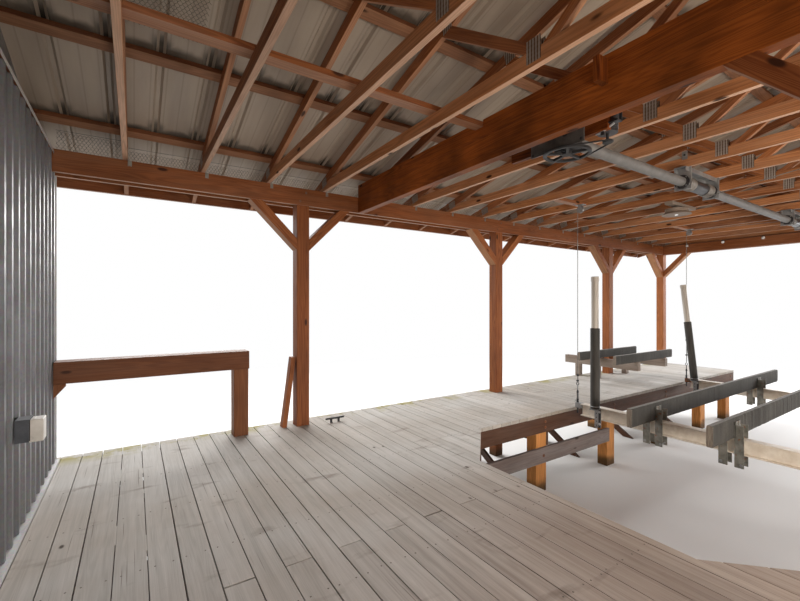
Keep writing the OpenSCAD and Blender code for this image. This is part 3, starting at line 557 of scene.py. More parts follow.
# Slot, finish, width of the rounded edges, and nodes. Random draws are made in this order.
dressed = (
    ("stained_timber", stained, 0.006, ("side_posts", "centre_posts")),
    ("stained_timber", header_wood, 0.003, ("side_headers",)),
    ("stained_timber", beam_wood, 0.003, ("cross_beam",)),
    ("stained_timber", header_wood, 0.003, ("end_headers",)),
    ("stained_timber", stained, 0.004, ("side_braces", "beam_braces")),
    ("stained_timber", chord_wood, 0.002, ("bottom_chords",)),
    ("stained_timber", truss_wood, 0.002, ("top_chords", "outer_webs", "inner_webs", "lateral_braces")),
    ("stained_timber", purlin_wood, 0.002, ("purlins",)),
    ("stained_timber", header_wood, 0.003, ("eave_fascias", "barge_boards")),
    ("stained_timber", stained, 0.002, ("wall_frame",)),
    ("stained_timber", rail_wood, 0.006, ("rail_post",)),
    ("stained_timber", rail_wood, 0.004, ("rail",)),
    ("stained_timber", stained, 0.003, ("stub_board",)),
    ("stained_timber", beam_wood, 0.003, ("motor_board",)),
    ("stained_timber", truss_wood, 0.002, ("pulley_boards",)),
    ("deck_framing", rim_wood, 0.003, ("rim_joists", "deck_joists", "pile_caps", "pile_braces")),
    ("deck_framing", low_wood, 0.003, ("lower_stringers",)),
    ("treated_piles", pile_wood, 0.005, ("deck_piles",)),
    ("weathered_deck", pale_wood, 0.003, ("ski_trestles",)),
)
for slot, finish, width, names in dressed:
    for node in names:
        boards_from(node, finish, slot, width)
print(sum(len(names) for *_, names in dressed), "nodes dressed as boards")

# %% [markdown]
# ## Decking
# The decks of the frame are plain slabs with holes for the posts. In the picture they are boards of
# about 140 mm with gaps of 4 to 7 mm, all laid across the building. Sawing the slab itself with pairs
# of cutting planes keeps the notches round the posts, so each board is a slice of the slab, and some
# are cut again where two lengths meet over a joist. Sun and rain made the wood grey, feet keep it
# brown in the middle, and moss grows along the outer edge, where it stays damp.


# %% The weathered finish
def decking():
    """Brown to silver boards with smears, splits, knots, and moss along the outer edge."""
    f = Finish("decking")
    along, tone = f.board()
    place = f.place()
    out = f.math("ABSOLUTE", f.axis(place, "Y"))
    rings = f.noise(f.stretch(along, (0.5, 11, 11)), 1.0, 2.0, 0.5, 0.4)
    lines = f.math("SINE", f.math("MULTIPLY", rings, 110.0))
    fibres = f.noise(f.stretch(along, (4, 220, 220)), 1.0, 3.0, 0.6)
    streaks = f.noise(f.stretch(along, (0.8, 22, 22)), 1.0, 4.0, 0.62)
    level = f.math("MULTIPLY_ADD", lines, 0.05, streaks)
    level = f.math("MULTIPLY_ADD", f.math("SUBTRACT", tone, 0.5), 0.24, level)
    brown = f.ramp(level, [(0.20, (0.33, 0.27, 0.235)), (0.5, (0.47, 0.405, 0.365)),
                           (0.85, (0.60, 0.545, 0.50))])
    silver = f.ramp(level, [(0.20, (0.38, 0.36, 0.335)), (0.5, (0.52, 0.505, 0.48)),
                            (0.85, (0.64, 0.62, 0.60))])
    open_air = f.math("MULTIPLY_ADD", f.noise(place, 0.8, 2.0), 2.4, out)
    wood = f.blend(f.ramp(f.math("MULTIPLY", open_air, 0.2), [(0.46, 0), (0.78, 1)]), brown, silver)
    stain = f.ramp(f.noise(place, 0.9, 4.0), [(0.35, (0.82, 0.77, 0.72)), (0.62, (1, 1, 1))])
    wood = f.blend(1.0, wood, stain, "MULTIPLY")
    slanted = f.add("Mapping", {"Vector": place, "Rotation": (0, 0, 0.7), "Scale": (2.2, 6.5, 1)})
    smear = f.ramp(f.noise(slanted, 1.0, 3.0, 0.6), [(0.61, 0), (0.74, 0.55)])
    wood = f.blend(smear, wood, (0.17, 0.125, 0.095))
    splits = f.ramp(f.noise(f.stretch(along, (1.6, 90, 90)), 1.0, 1.0), [(0.71, 0), (0.77, 0.6)])
    wood = f.blend(splits, wood, (0.12, 0.09, 0.07))
    wood = f.blend(f.knots(along, (4.2, 7.5, 7.5), 0.26, 0.045, 0.12), wood, (0.075, 0.055, 0.042))
    moss = f.math("MULTIPLY", f.ramp(f.math("SUBTRACT", out, 4.0), [(0.42, 0), (0.62, 1)]),
                  f.ramp(f.noise(place, 2.4, 4.0, 0.7), [(0.49, 0), (0.60, 0.85)]))
    wood = f.blend(moss, wood, (0.32, 0.28, 0.075))
    # Painted light: boards towards -Y are tinted warmer, standing in for the warmer light on that side.
    warm_light_tint = f.ramp(f.math("MULTIPLY_ADD", f.axis(place, "Y"), -0.2, 0.6),
                     [(0.25, (1, 1, 1)), (0.75, (1.0, 0.95, 0.90))])
    wood = f.blend(1.0, wood, warm_light_tint, "MULTIPLY")
    f.colour(wood)
    f.roughness(f.ramp(streaks, [(0.2, 0.72), (0.8, 0.95)]))
    first = f.bump(streaks, 0.0012, 0.35)
    f.bump(fibres, 0.0010, 0.55, first)
    return f.material


weathered = decking()
print("decking finish written")


# %% Saw the slabs
def sawn_from(slab, low, high, axis):
    """A copy of the slab between two planes across the axis, with closed cuts."""
    part = slab.copy()
    for place, way in ((low, -1), (high, 1)):
        point, normal = Vector((0, 0, 0)), Vector((0, 0, 0))
        point[axis], normal[axis] = place, way
        cut_away(part, point, normal)
    return part


# From one board to the next, where the first one starts, and half the gap where two lengths meet
BOARD, FIRST_EDGE, HALF_JOINT = 0.1455, -5.260, 0.002
# Every eighth board is short by this much, and a strip thinner than this isn't laid
SHORT_BY, THINNEST = 0.008, 0.02
gaps = random.Random(3)
gap_after = {k: gaps.choice((0.0045, 0.005, 0.006, 0.007)) for k in range(-1, 80)}


def shore_joints(k):
    """Every other board meets its next length at 2.19, the ones between over the middle joist."""
    return [2.19 - 4.2, 2.19] if k % 2 else [-0.10]


def no_joints(k):
    """Short boards run through."""
    return []


def lay_boards(node, joints):
    """Boards across a deck slab. joints gives the places where board number k meets its next length."""
    slab = node_bmesh(node)
    low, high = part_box(node)
    deck, rows = bmesh.new(), []
    for k in range(-1, 78):
        x0 = max(FIRST_EDGE + k * BOARD, low.x)
        x1 = min(FIRST_EDGE + (k + 1) * BOARD - gap_after[k], high.x)
        if x1 - x0 < THINNEST:
            continue
        strip = sawn_from(slab, x0, x1, 0)
        cuts = [low.y - 1] + joints(k) + [high.y + 1]
        for a, b in zip(cuts, cuts[1:]):
            add_bmesh(deck, sawn_from(strip, a + HALF_JOINT + SHORT_BY * (k % 8 == 7), b - HALF_JOINT, 1))
        strip.free()
        rows.append((x0, x1))
    slab.free()
    round_edges(deck, 0.004)
    grain_along(deck, (0, 1, 0))
    return deck, rows


rows_of = {}
for node in ("shore_deck", "walkways", "finger_deck", "corner_decks"):
    deck, rows_of[node] = lay_boards(node, shore_joints if node == "shore_deck" else no_joints)
    new_piece(node + "_boards", deck, weathered, "boathouse", node, slot="weathered_deck")
print({node: len(rows) for node, rows in rows_of.items()}, "rows of boards")

# %% [markdown]
# Two screws hold each board on each joist. A screw head is a cone of eight sides, sunk a little into
# the board, and copies of it go along every joist. Dark strips lie deep in the gaps near the wall as
# painted shade, and two of those gaps are packed with dirt up to the top in places.

# %% Drive the screws
rust = Finish("screw_rust", 0.7, 0.4)
rust.colour(rust.ramp(rust.noise(rust.place(), 60.0),
                      [(0.3, (0.11, 0.085, 0.07)), (0.7, (0.24, 0.21, 0.18))]))
DECK_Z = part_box("shore_deck")[1].z
SCREW_INSET, SCREW_STRAY, CLEAR_OF_POST = 0.028, 0.006, 0.09
joist_ys = {
    "shore_deck": [s * y for s in (-1, 1) for y in (0.6544, 1.2898, 1.9252, 2.5606, 3.196, 3.8314, 4.607)],
    "walkways": [s * y for s in (-1, 1) for y in (3.323, 3.751, 4.179, 4.607)],
    "finger_deck": [-0.424, 0.424],
}
heads = []
for node, ys in joist_ys.items():
    for x0, x1 in rows_of[node]:
        for y in ys:
            for x in (x0 + SCREW_INSET, x1 - SCREW_INSET):
                if x1 - x0 > 0.1:
                    heads.append((x + chance.uniform(-SCREW_STRAY, SCREW_STRAY),
                                  y + chance.uniform(-SCREW_STRAY, SCREW_STRAY)))
posts = [(x, y) for x in (-5.226, -3.048, 0, 3.048, 5.182) for y in (-4.518, 4.518)]
posts += [(-2.358, 0), (5.182, 0)]
heads = [h for h in heads if min(max(abs(h[0] - p[0]), abs(h[1] - p[1])) for p in posts) > CLEAR_OF_POST]
screw = bmesh.new()
rod(screw, (0, 0, -0.003), (0, 0, 0.0004), 0.0028, 8, end=0.0048)
screws = scatter(screw, [Matrix.Translation((x, y, DECK_Z)) for x, y in heads], bmesh.new())
new_piece("deck_screws", screws, rust.material, "boathouse", slot="grey_metal")

FILLED_UP = (4, 5)  # gaps that are full in places
# Painted shade: dark strips lie deep in the gaps near the wall, so that the gaps read dark. In the
# FILLED_UP gaps dirt rises to the top in places.
shade_and_dirt = bmesh.new()
for k in range(1, 14):
    gap_x, y = FIRST_EDGE + k * BOARD, -4.2
    while y < 4.4:
        length = chance.uniform(0.3, 1.1)
        low = (gap_x - 0.010, y, DECK_Z - 0.034)
        brick(shade_and_dirt, low, (gap_x + 0.003, min(y + length, 4.55), DECK_Z - 0.026))
        if k in FILLED_UP:
            brick(shade_and_dirt, low, (gap_x + 0.002, y + 0.25 * length, DECK_Z - 0.001), 1)
        y += length + chance.uniform(0.02, 0.10)
grain_along(shade_and_dirt, (0, 1, 0))
new_piece("gap_shade_and_dirt", shade_and_dirt, [rim_wood, weathered], "boathouse", slot="weathered_deck")
print(len(heads), "screws")

# %% [markdown]
# ## Sheet metal
# The roof and the shore wall are ribbed sheet. The frame has the ribs, so these nodes stay as they are
# and get their finish. The roof sheet is a beige coating with a dark band along each purlin, which
# reaches further in the ribs: painted shade, with some dirt. Thin dark lines are painted shade for the
# two low ribs between the tall ones. The wall is bare zinc-coated steel that has gone dull, with long
# streaks from the rain.


# %% Sheet finishes
RIB_PITCH, PURLIN_PITCH = 0.305, 0.9


def sheet_metal(name, colour, shade, roughness, metallic, streaky=False):
    """Flat steel with faint crystals of zinc, cloudy or with upright streaks."""
    f = Finish(name, roughness, metallic)
    place = f.place()
    cloud = f.noise(f.stretch(place, (9, 9, 0.5)) if streaky else place, 1.0 if streaky else 2.2, 4.0)
    spangle = f.add("TexVoronoi", {"Vector": place, "Scale": 70.0}, out="Color")
    tint = f.ramp(cloud, [(0.3, shade), (0.7, colour)])
    f.colour(f.blend(0.10, tint, spangle, "OVERLAY"))
    f.roughness(f.ramp(f.noise(place, 9.0, 3.0), [(0.3, roughness - 0.08), (0.7, roughness + 0.12)]))
    f.bump(f.noise(place, 30.0, 2.0), 0.0004, 0.4)
    return f.material


def roof_finish():
    """Beige coating, with a dark band along the purlins on the sheet's underside, painted shade with some
    dirt, and thin painted shade lines for the low ribs.
    """
    f = Finish("roof_sheet", 0.5, 0.1)
    place = f.place()
    wear = f.noise(f.stretch(place, (7, 0.7, 1)), 1.0, 4.0)
    tint = f.ramp(wear, [(0.3, (0.31, 0.26, 0.21)), (0.7, (0.43, 0.375, 0.315))])
    across = f.math("FRACT", f.math("DIVIDE", f.math("ADD", f.axis(place, "X"), 5.507), RIB_PITCH))
    # Painted shade: thin dark lines stand for the two low ribs between the tall ones.
    low_rib_shade = f.ramp(f.math("FRACT", f.math("MULTIPLY", across, 3.0)),
                     [(0.0, 0.30), (0.05, 0.0), (0.90, 0.0), (1.0, 0.30)])
    tint = f.blend(low_rib_shade, tint, (0.10, 0.08, 0.06))
    # Painted shade with some dirt: a dark band along each purlin, reaching further in the rib hollows, only
    # on faces that look down.
    wavy = f.math("MULTIPLY_ADD", f.noise(place, 5.0, 3.0), 0.16, f.math("ABSOLUTE", f.axis(place, "Y")))
    up_slope = f.math("FRACT", f.math("DIVIDE", f.math("SUBTRACT", wavy, 0.77), PURLIN_PITCH))
    far_from = f.ramp(up_slope, [(0.0, 1.0), (0.02, 0.0), (0.86, 0.0), (0.94, 1.0)], True)
    near_rib = f.ramp(up_slope, [(0.0, 1.0), (0.03, 0.0), (0.76, 0.0), (0.91, 1.0)], True)
    in_rib = f.ramp(across, [(0.22, 0.0), (0.42, 1.0), (0.58, 1.0), (0.78, 0.0)], True)
    beside = f.math("MAXIMUM", f.math("MULTIPLY", far_from, 0.80), f.math("MULTIPLY", near_rib, in_rib))
    shade_and_dirt = f.math("MULTIPLY", beside, f.faces_down())
    shade_and_dirt = f.math("MULTIPLY", shade_and_dirt, f.ramp(f.noise(place, 4.0, 2.0), [(0.3, 0.7), (0.6, 0.98)]))
    f.colour(f.blend(shade_and_dirt, tint, (0.022, 0.019, 0.014)))
    f.roughness(f.ramp(wear, [(0.3, 0.42), (0.7, 0.62)]))
    f.bump(wear, 0.0006, 0.3)
    return f.material


def steel(name, colour, shade, roughness=0.42, metallic=0.75, rusty=0.0):
    """Zinc-coated or painted steel, with rust in patches if asked for."""
    f = Finish(name, roughness, metallic)
    place = f.place()
    cloud = f.noise(place, 14.0, 4.0, 0.6)
    tint = f.ramp(cloud, [(0.3, shade), (0.7, colour)])
    if rusty:
        rust_patch = f.ramp(f.noise(place, 22.0, 5.0, 0.65),
                            [(0.62 - 0.25 * rusty, 0), (0.72 - 0.2 * rusty, 1)])
        tint = f.blend(rust_patch, tint, (0.23, 0.075, 0.025))
        f.tree.links.new(f.math("MULTIPLY", f.math("SUBTRACT", 1.0, rust_patch), metallic),
                         f.shader.inputs["Metallic"])
    f.colour(tint)
    f.roughness(f.ramp(cloud, [(0.3, roughness - 0.1), (0.7, roughness + 0.15)]))
    f.bump(f.noise(place, 90.0, 2.0), 0.0003, 0.5)
    return f.material


# After the name: the light and the dark colour, the roughness, how metallic, and how streaky or rusty.
roof_metal = roof_finish()
wall_metal = sheet_metal("wall_sheet", (0.215, 0.215, 0.225), (0.13, 0.13, 0.135), 0.44, 0.36, True)
trim_metal = sheet_metal("trim_strip", (0.62, 0.62, 0.63), (0.48, 0.48, 0.49), 0.45, 0.1)
grey_metal = steel("galvanised_steel", (0.42, 0.43, 0.44), (0.26, 0.27, 0.28), 0.42, 0.6)
dull_metal = steel("dirty_galvanised_steel", (0.34, 0.34, 0.31), (0.13, 0.13, 0.115), 0.5, 0.5, 0.15)
rusty_metal = steel("rusty_steel", (0.22, 0.17, 0.13), (0.10, 0.07, 0.05), 0.60, 0.4, 0.9)
light_metal = steel("light_grey_steel", (0.60, 0.61, 0.63), (0.44, 0.45, 0.47), 0.4, 0.4)
dark_metal = steel("dark_steel", (0.060, 0.062, 0.068), (0.030, 0.030, 0.033), 0.42, 0.3)
plate_metal = steel("drive_plate_paint", (0.19, 0.185, 0.18), (0.10, 0.097, 0.093), 0.42, 0.35)
beam_metal = steel("weathered_aluminium", (0.93, 0.88, 0.80), (0.76, 0.69, 0.60), 0.50, 0.06)
tube_metal = steel("dull_tube", (0.24, 0.24, 0.24), (0.15, 0.15, 0.15), 0.58, 0.3)
# The flood light is off, yet its lens glows faintly: painted light that stands in for the light it catches.
lens = Finish("glowing_lens", 0.3)
lens.shader.inputs["Base Color"].default_value = (0.86, 0.89, 0.93, 1)
lens.shader.inputs["Emission Color"].default_value = (0.86, 0.92, 1.0, 1)
lens.shader.inputs["Emission Strength"].default_value = 0.80
rubber = steel("black_rubber", (0.025, 0.025, 0.027), (0.014, 0.014, 0.015), 0.6, 0.0)
white_plastic = steel("aged_white_plastic", (0.68, 0.65, 0.60), (0.56, 0.53, 0.48), 0.35, 0.0)
dark_plastic = steel("dark_box_plastic", (0.075, 0.082, 0.10), (0.045, 0.05, 0.06), 0.4, 0.0)
lamp_glass = steel("frosted_lens", (0.86, 0.89, 0.93), (0.78, 0.81, 0.86), 0.25, 0.0)


def paint(node, finish):
    """Gives a node of the frame a finish, as it stands."""
    nodes[node].data.materials.clear()
    nodes[node].data.materials.append(finish)


for finish, names in ((roof_metal, ("roof_sheets", "ridge_cap")), (trim_metal, ("wall_trim",)),
                      (wall_metal, ("gable_sheets", "wall_inner_sheets", "wall_outer_sheets"))):
    for name in names:
        paint(name, finish)
print("sheets finished")

# %% [markdown]
# Screws with wide washers hold the sheets: on top of the roof beside the ribs over each purlin, and on
# the walls along each level board behind them. They are the only fastenings seen from outside.

# %% Screw the sheets down
RISE = 0.25
SLOPE = math.atan(RISE)
HALF_SPAN, SHEET_Z_AT_SPAN = 4.572, 3.6894
# The x of both faces of the shore wall, and the way that they look
WALL_FACES, WALL_RIB = ((-5.154, 1), (-5.298, -1)), 0.152
roof_low, roof_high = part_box("roof_sheets")
washer = bmesh.new()
rod(washer, (0, 0, 0), (0, 0, 0.002), 0.008, 8)
rod(washer, (0, 0, 0.002), (0, 0, 0.006), 0.004, 6)
places = []
for way in (-1, 1):
    for y in (0.12, 0.69, 1.59, 2.49, 3.39, 4.29, 5.13):
        place = Vector((0, way * y, SHEET_Z_AT_SPAN + (HALF_SPAN - y) * RISE))
        for i in range(36):
            place.x = roof_low.x + RIB_PITCH * (i + 0.5) + 0.06
            if place.x < roof_high.x - 0.05:
                places.append(Matrix.Translation(place) @ Matrix.Rotation(-way * SLOPE, 4, "X"))
for face_x, way in WALL_FACES:
    for side in (-1, 1):
        for z in (1.02, 1.78, 2.56, 3.45):
            for i in range(23):
                y = side * (0.915 + WALL_RIB * (i + 0.5) + 0.05)
                if abs(y) < 4.40:
                    places.append(Matrix.Translation((face_x, y, z))
                                  @ Matrix.Rotation(way * math.pi / 2, 4, "Y"))
sheet_screws = scatter(washer, places, bmesh.new())
new_piece("sheet_screws", sheet_screws, grey_metal, "boathouse", slot="grey_metal", round_parts=True)
print(len(places), "sheet screws")

# %% [markdown]
# ## Truss plates and clips
# Factory trusses are pressed together with toothed steel plates, one on each face of every joint. The
# teeth were punched out of the plate, so it is covered with rows of slots. The plates are thin bricks,
# and the slots are upright stripes in their finish. Beside each truss a folded clip ties it to the header.

# %% Press in the plates
def punched():
    """A plate with rows of upright slots."""
    f = Finish("punched_plate", 0.5, 0.5)
    place = f.place()
    stripes = f.math("SINE", f.math("MULTIPLY", f.axis(place, "Y"), math.tau / 0.0190))
    teeth = f.math("SINE", f.math("MULTIPLY", f.axis(place, "Z"), math.tau / 0.024))
    slots = f.ramp(f.math("MULTIPLY_ADD", teeth, 0.22, stripes), [(0.05, 0), (0.55, 1)], True)
    cloud = f.ramp(f.noise(place, 16.0, 3.0), [(0.3, (0.36, 0.32, 0.29)), (0.7, (0.52, 0.49, 0.46))])
    f.colour(f.blend(slots, cloud, (0.15, 0.095, 0.065)))
    f.bump(slots, 0.001, -0.8)
    return f.material


plate_steel = punched()
truss_xs = [-5.277 + i * 0.618235 for i in range(18)]
HEADER_Z, HALF, THIN = 3.542, 0.019, 0.0014
# Where a plate is, half its width and height, and 1 if it leans with the roof
plate_rows = [(1.57, HEADER_Z + 0.085, 0.046, 0.0625, 0), (4.40, HEADER_Z + 0.085, 0.062, 0.045, 1),
              (2.286, 4.172, 0.045, 0.05, 1), (0.0, 4.748, 0.060, 0.055, 0)]
plates = bmesh.new()
for x in truss_xs[1:]:
    for y, z, wide, high, leans in plate_rows:
        for side in ((1, -1) if y else (1,)):
            turn = Matrix.Translation((0, side * y, z)) @ Matrix.Rotation(-side * SLOPE * leans, 4, "X")
            for face in (-1, 1) if x < 5.2 else (-1,):
                x0, x1 = sorted((x + face * HALF, x + face * (HALF + THIN)))
                brick(plates, (x0, -wide, -high), (x1, wide, high), 0, turn)
new_piece("truss_plates", plates, plate_steel, "boathouse", slot="grey_metal")

HEADER_FACE_Y = 4.448
clips = bmesh.new()
for x in truss_xs[1:]:
    chord_x = x + HALF
    for side in (-1, 1):
        y = side * HEADER_FACE_Y
        inner = y - side * THIN
        a, b = sorted((y, inner))
        brick(clips, (chord_x, a, 3.492), (chord_x + 0.030, b, 3.5405))
        a, b = sorted((inner, y - side * 0.036))
        brick(clips, (chord_x, a, 3.5415), (chord_x + THIN, b, 3.612))
        for z in (3.502, 3.526):
            rod(clips, (chord_x + 0.016, inner, z), (chord_x + 0.016, inner - side * 0.003, z), 0.004, 8)
new_piece("header_clips", clips, dull_metal, "boathouse", slot="grey_metal", round_parts=True)
print(len(truss_xs) - 1, "trusses plated and clipped")

# %% [markdown]
# ## Wire netting
# Strips of hexagon netting stand on the inner header in every gap between the trusses to keep birds
# out, held by a dark selvedge wire along the top, and a loose piece is tucked under the roof sheet. Real
# netting is woven, with a short twist between its cells. One cell is three thin three-sided bars, and
# copies of it make a bay, which is then bent a little, because no netting hangs flat.

# %% Weave the netting
def netting_cell(wide, row, thick):
    """A twisted stem that forks in two."""
    cell = bmesh.new()
    rod(cell, (0, 0, 0), (0, 0, 0.34 * row), thick * 1.4, 3, caps=False)
    for way in (-1, 1):
        rod(cell, (0, 0, 0.34 * row), (way * wide / 2, 0, row), thick, 3, caps=False)
    return cell


def netting(length, height, wide=0.027, row=0.021, waves=0.006, seed=0, thick=0.0016):
    """A strip of netting in the XZ plane, from the origin along X, bent by waves."""
    places = [Matrix.Translation((wide * (i + 0.5 * (r % 2) + 0.25), 0, row * r))
              for r in range(int(height / row)) for i in range(int(length / wide))]
    strip = scatter(netting_cell(wide, row, thick), places, bmesh.new())
    for v in strip.verts:
        v.co.x = min(max(v.co.x, 0), length)
        v.co.y += waves * noise.noise(Vector((v.co.x * 7, v.co.z * 9, seed)))
        v.co.x += 0.004 * noise.noise(Vector((v.co.x * 11, v.co.z * 14, seed + 5)))
    return strip


WALL_FACE_X, FREE_END = -5.13, 0.004
net = bmesh.new()
for i in range(17):
    start = truss_xs[i] + HALF if i else WALL_FACE_X
    length = truss_xs[i + 1] - HALF - start - 2 * FREE_END
    height = 0.105 if i else 0.150
    for side in (-1, 1):
        strip = netting(length, height, seed=i * 2 + side)
        rod(strip, (0, 0, height + 0.004), (length, 0.004, height + 0.012), 0.0016, 5, m=1)
        strip.transform(Matrix.Translation((start + FREE_END, side * 4.452, HEADER_Z + 0.001)))
        add_bmesh(net, strip)
loose = netting(0.44, 0.66, waves=0.010, seed=99, thick=0.0012)
for face in loose.faces:
    face.material_index = 2
loose.transform(Matrix.Translation((-4.640, 2.52, 4.176)) @ Matrix.Rotation(-math.pi / 2 - SLOPE, 4, "X"))
add_bmesh(net, loose)
net_wire = steel("netting_wire", (0.30, 0.285, 0.26), (0.05, 0.045, 0.04), 0.45, 0.2)
old_wire = steel("old_netting_wire", (0.11, 0.10, 0.085), (0.055, 0.048, 0.04), 0.6, 0.2)
print("netting", sum(len(f.verts) - 2 for f in net.faces), "triangles")
new_piece("wire_netting", net, [net_wire, dark_metal, old_wire], "boathouse", slot="cable_wire")

# %% [markdown]
# ## Bolts and small wood
# The headers are let into the posts and held by carriage bolts, two at each post, with nuts outside.
# Rim boards are bolted to the piles the same way. A block is nailed on the beam beside the drive, a small
# cut block stands under the rail at the wall, and a few bulbs on a thin cord line the lake header.

# %% Fit the bolts
OUTER_FACE_Y = 4.626
bolts = bmesh.new()
for x in (-3.048, 0.0, 3.048, 5.182):
    for side in (-1, 1):
        for dx, z in ((-0.035, 3.40), (0.035, 3.50)):
            bolt(bolts, (x + dx, side * HEADER_FACE_Y, z), (0, -side, 0), 0.009, 0.006, 1, 0.014)
            bolt(bolts, (x + dx, side * OUTER_FACE_Y, z), (0, side, 0), 0.011, 0.010, 0, 0.019)
pile_xs = (-1.986, -0.462, 1.062, 2.586, 4.110, 5.262)
# The faces of the rims on both sides of a slip, and the way that they look
rims = ((3.304, -1), (0.443, 1))
rim_spots = [(x + 0.03, z) for x in pile_xs for z in (0.79, 0.86)] + [(x, 0.455) for x in pile_xs[:2]]
for x, z in rim_spots:
    for side in (-1, 1):
        for y, way in rims:
            bolt(bolts, (x, side * y, z), (0, side * way, 0), 0.011, 0.009, 1, 0.020)
new_piece("frame_bolts", bolts, [grey_metal, rusty_metal], "boathouse", slot="grey_metal", round_parts=True)

block = bmesh.new()
brick(block, (-2.466, 1.417, 3.510), (-2.378, 1.455, 3.650))
gusset = bmesh.new()
brick(gusset, (-5.137, 4.4105, 1.520), (-5.060, 4.4475, 1.6305))
cut_away(gusset, (-5.060, 4.43, 1.610), (1.2, 0, -1))
for name, bm, finish in (("beam_block", block, beam_wood), ("rail_gusset", gusset, rail_wood)):
    round_edges(bm, 0.002)
    grain_along(bm, (0, 0, 1))
    new_piece(name, bm, finish, "boathouse", slot="stained_timber")

CORD_Z = 3.5385
bulb_x, bulbs = 5.100, bmesh.new()
for i in range(-6, 7):
    y = 0.296 + i * 0.614
    mark(bmesh.ops.create_uvsphere(bulbs, u_segments=12, v_segments=8, radius=0.028,
                                   matrix=Matrix.Translation((bulb_x, y, 3.500)))["verts"], 1)
    rod(bulbs, (bulb_x, y, 3.523), (bulb_x, y, 3.5415), 0.014, 8)
rod(bulbs, (bulb_x + 0.010, -4.40, CORD_Z), (bulb_x + 0.010, 4.40, CORD_Z), 0.003, 6)
new_piece("header_bulbs", bulbs, [rubber, lamp_glass], "boathouse", slot="lamp_white", round_parts=True)
print("bolts, blocks and bulbs fitted")

# %% [markdown]
# ## Outlet box, cleats and flood light
# Small bought-in fittings. Each is a copy of its exact solids with rounded edges: the box is dark and
# its bubble cover pale and much rounder, the cleats are cast, and the flood light is a black pan with a
# frosted lens that glows faintly as painted light, held to its board by two crossed wires.

# %% Dress the small fittings
COVER_X = -5.0775
box = node_bmesh("outlet_box")
for face in box.faces:
    face.material_index = int(face.calc_center_median().x > COVER_X)
for m, width, segments in ((1, 0.018, 4), (0, 0.004, 2)):
    round_edges(box, width, segments, [e for e in box.edges
                                       if all(face.material_index == m for face in e.link_faces)])
box_low, box_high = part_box("outlet_box")
brick(box, (-5.083, box_low.y + 0.004, 1.523), (-5.074, box_high.y - 0.004, 1.641), 2)
rod(box, (-5.060, box_low.y + 0.020, 1.6375), (-5.060, box_high.y - 0.020, 1.6375), 0.004, 8, m=1)
brick(box, (-5.024, box_low.y + 0.048, 1.520), (-5.0185, box_high.y - 0.048, 1.530), 1)
new_piece("outlet_dressed", box, [dark_plastic, white_plastic, rubber], "boathouse", "outlet_box",
          slot="box_plastic", round_parts=True)
dress("dock_cleats", [dark_metal], 0.004, slot="grey_metal")


def light_part(low, high):
    """The board is the longest solid of the flood light, the lens the next one."""
    long = high.x - low.x
    return 2 if long > 0.5 else int(long > 0.28)


def crossed_wires(bm):
    """Two wires that hold the lamp to its board, and the round middle of its lens."""
    y = 2.52
    for way in (-1, 1):
        rod(bm, (1.03, y - way * 0.06, 3.478), (1.17, y + way * 0.06, 3.503), 0.003, 6)
    rod(bm, (1.098, y, 3.4), (1.098, y, 3.396), 0.018, 12, m=1)


dress("flood_light", [dark_metal, lens.material, pale_wood], 0.003, light_part, slot="lamp_white",
      more=crossed_wires)
print("small fittings dressed")

# %% [markdown]
# ## Drive and winders
# The lift is driven by a motor that hangs beside a large spoked pulley, behind a dark plate. A belt
# joins the two. The gearbox turns a long tube with two drums, and wire rope is wound on the drums from
# both sides. The solids get chamfers, bolts, a ribbed motor shell and the separate turns of the rope.

# %% Dress the drive
TUBE_Y, TUBE_Z = 1.8735, 3.410
PLATE_X = -2.1751


def motor_part(low, high):
    """The plate is at the front, and the light solid is the upright can of 45 mm."""
    if high.x < -2.16:
        return 1
    return 2 if abs(high.y - low.y - 0.045) < 0.01 else 0


def motor_details(bm):
    """Cooling ribs, the plate's bolts, a box beside the motor and its short bent pipe."""
    for i in range(9):
        ring(bm, (-2.060, 1.6035, 3.395 + i * 0.021), (0, 0, 1), 0.060, 0.0035, 20, 4)
    bolt(bm, (PLATE_X, 1.83, 3.428), (-1, 0, 0), 0.016, 0.012, washer=0.024)
    for z in (3.352, 3.522):
        for y in (1.712, 2.090):
            bolt(bm, (PLATE_X, y, z), (-1, 0, 0), 0.007, 0.005, washer=0.010)
    for z in (3.392, 3.532):
        brick(bm, (-2.166, 1.4800, z - 0.004), (-2.116, 1.5400, z + 0.004))
    brick(bm, (-2.120, 1.4800, 3.392), (-2.114, 1.5100, 3.532))
    bend = (-2.150, 1.600, 3.350)
    rod(bm, (-2.145, 1.512, 3.385), bend, 0.007, 8, m=2)
    rod(bm, bend, (-2.128, 1.640, 3.362), 0.007, 8, m=2)
    brick(bm, (-2.160, 1.570, 3.330), (-2.136, 1.590, 3.352))


dress("lift_motor", [dark_metal, plate_metal, light_metal], 0.003, motor_part, slot="dark_metal",
      more=motor_details)
dress("drive_wheel", [white_plastic, rubber], 0.001, lambda low, high: int(high.y - low.y > 0.42),
      slot="grey_metal")

# %% Dress the winders
# The places of each winder's two hanging plates along the tube
WINDERS = [(-0.3311, 0.2871), (2.7601, 3.3783)]
ROPE_TURN = 0.0086


def rope_turns(bm):
    """The rope on both ends of each drum, and four bands round the tube."""
    for low, high in WINDERS:
        for a, b in ((low + 0.03, low + 0.16), (high - 0.185, high - 0.055)):
            for i in range(int((b - a) / ROPE_TURN)):
                place = (a + ROPE_TURN * (i + 0.5), TUBE_Y, TUBE_Z)
                ring(bm, place, (1, 0, 0), 0.0585, 0.0042, 24, 5, m=1)
    for x in (-1.95, -0.21, 1.53, 3.27):
        ring(bm, (x, TUBE_Y, TUBE_Z), (1, 0, 0), 0.0405, 0.004, 24, 5)


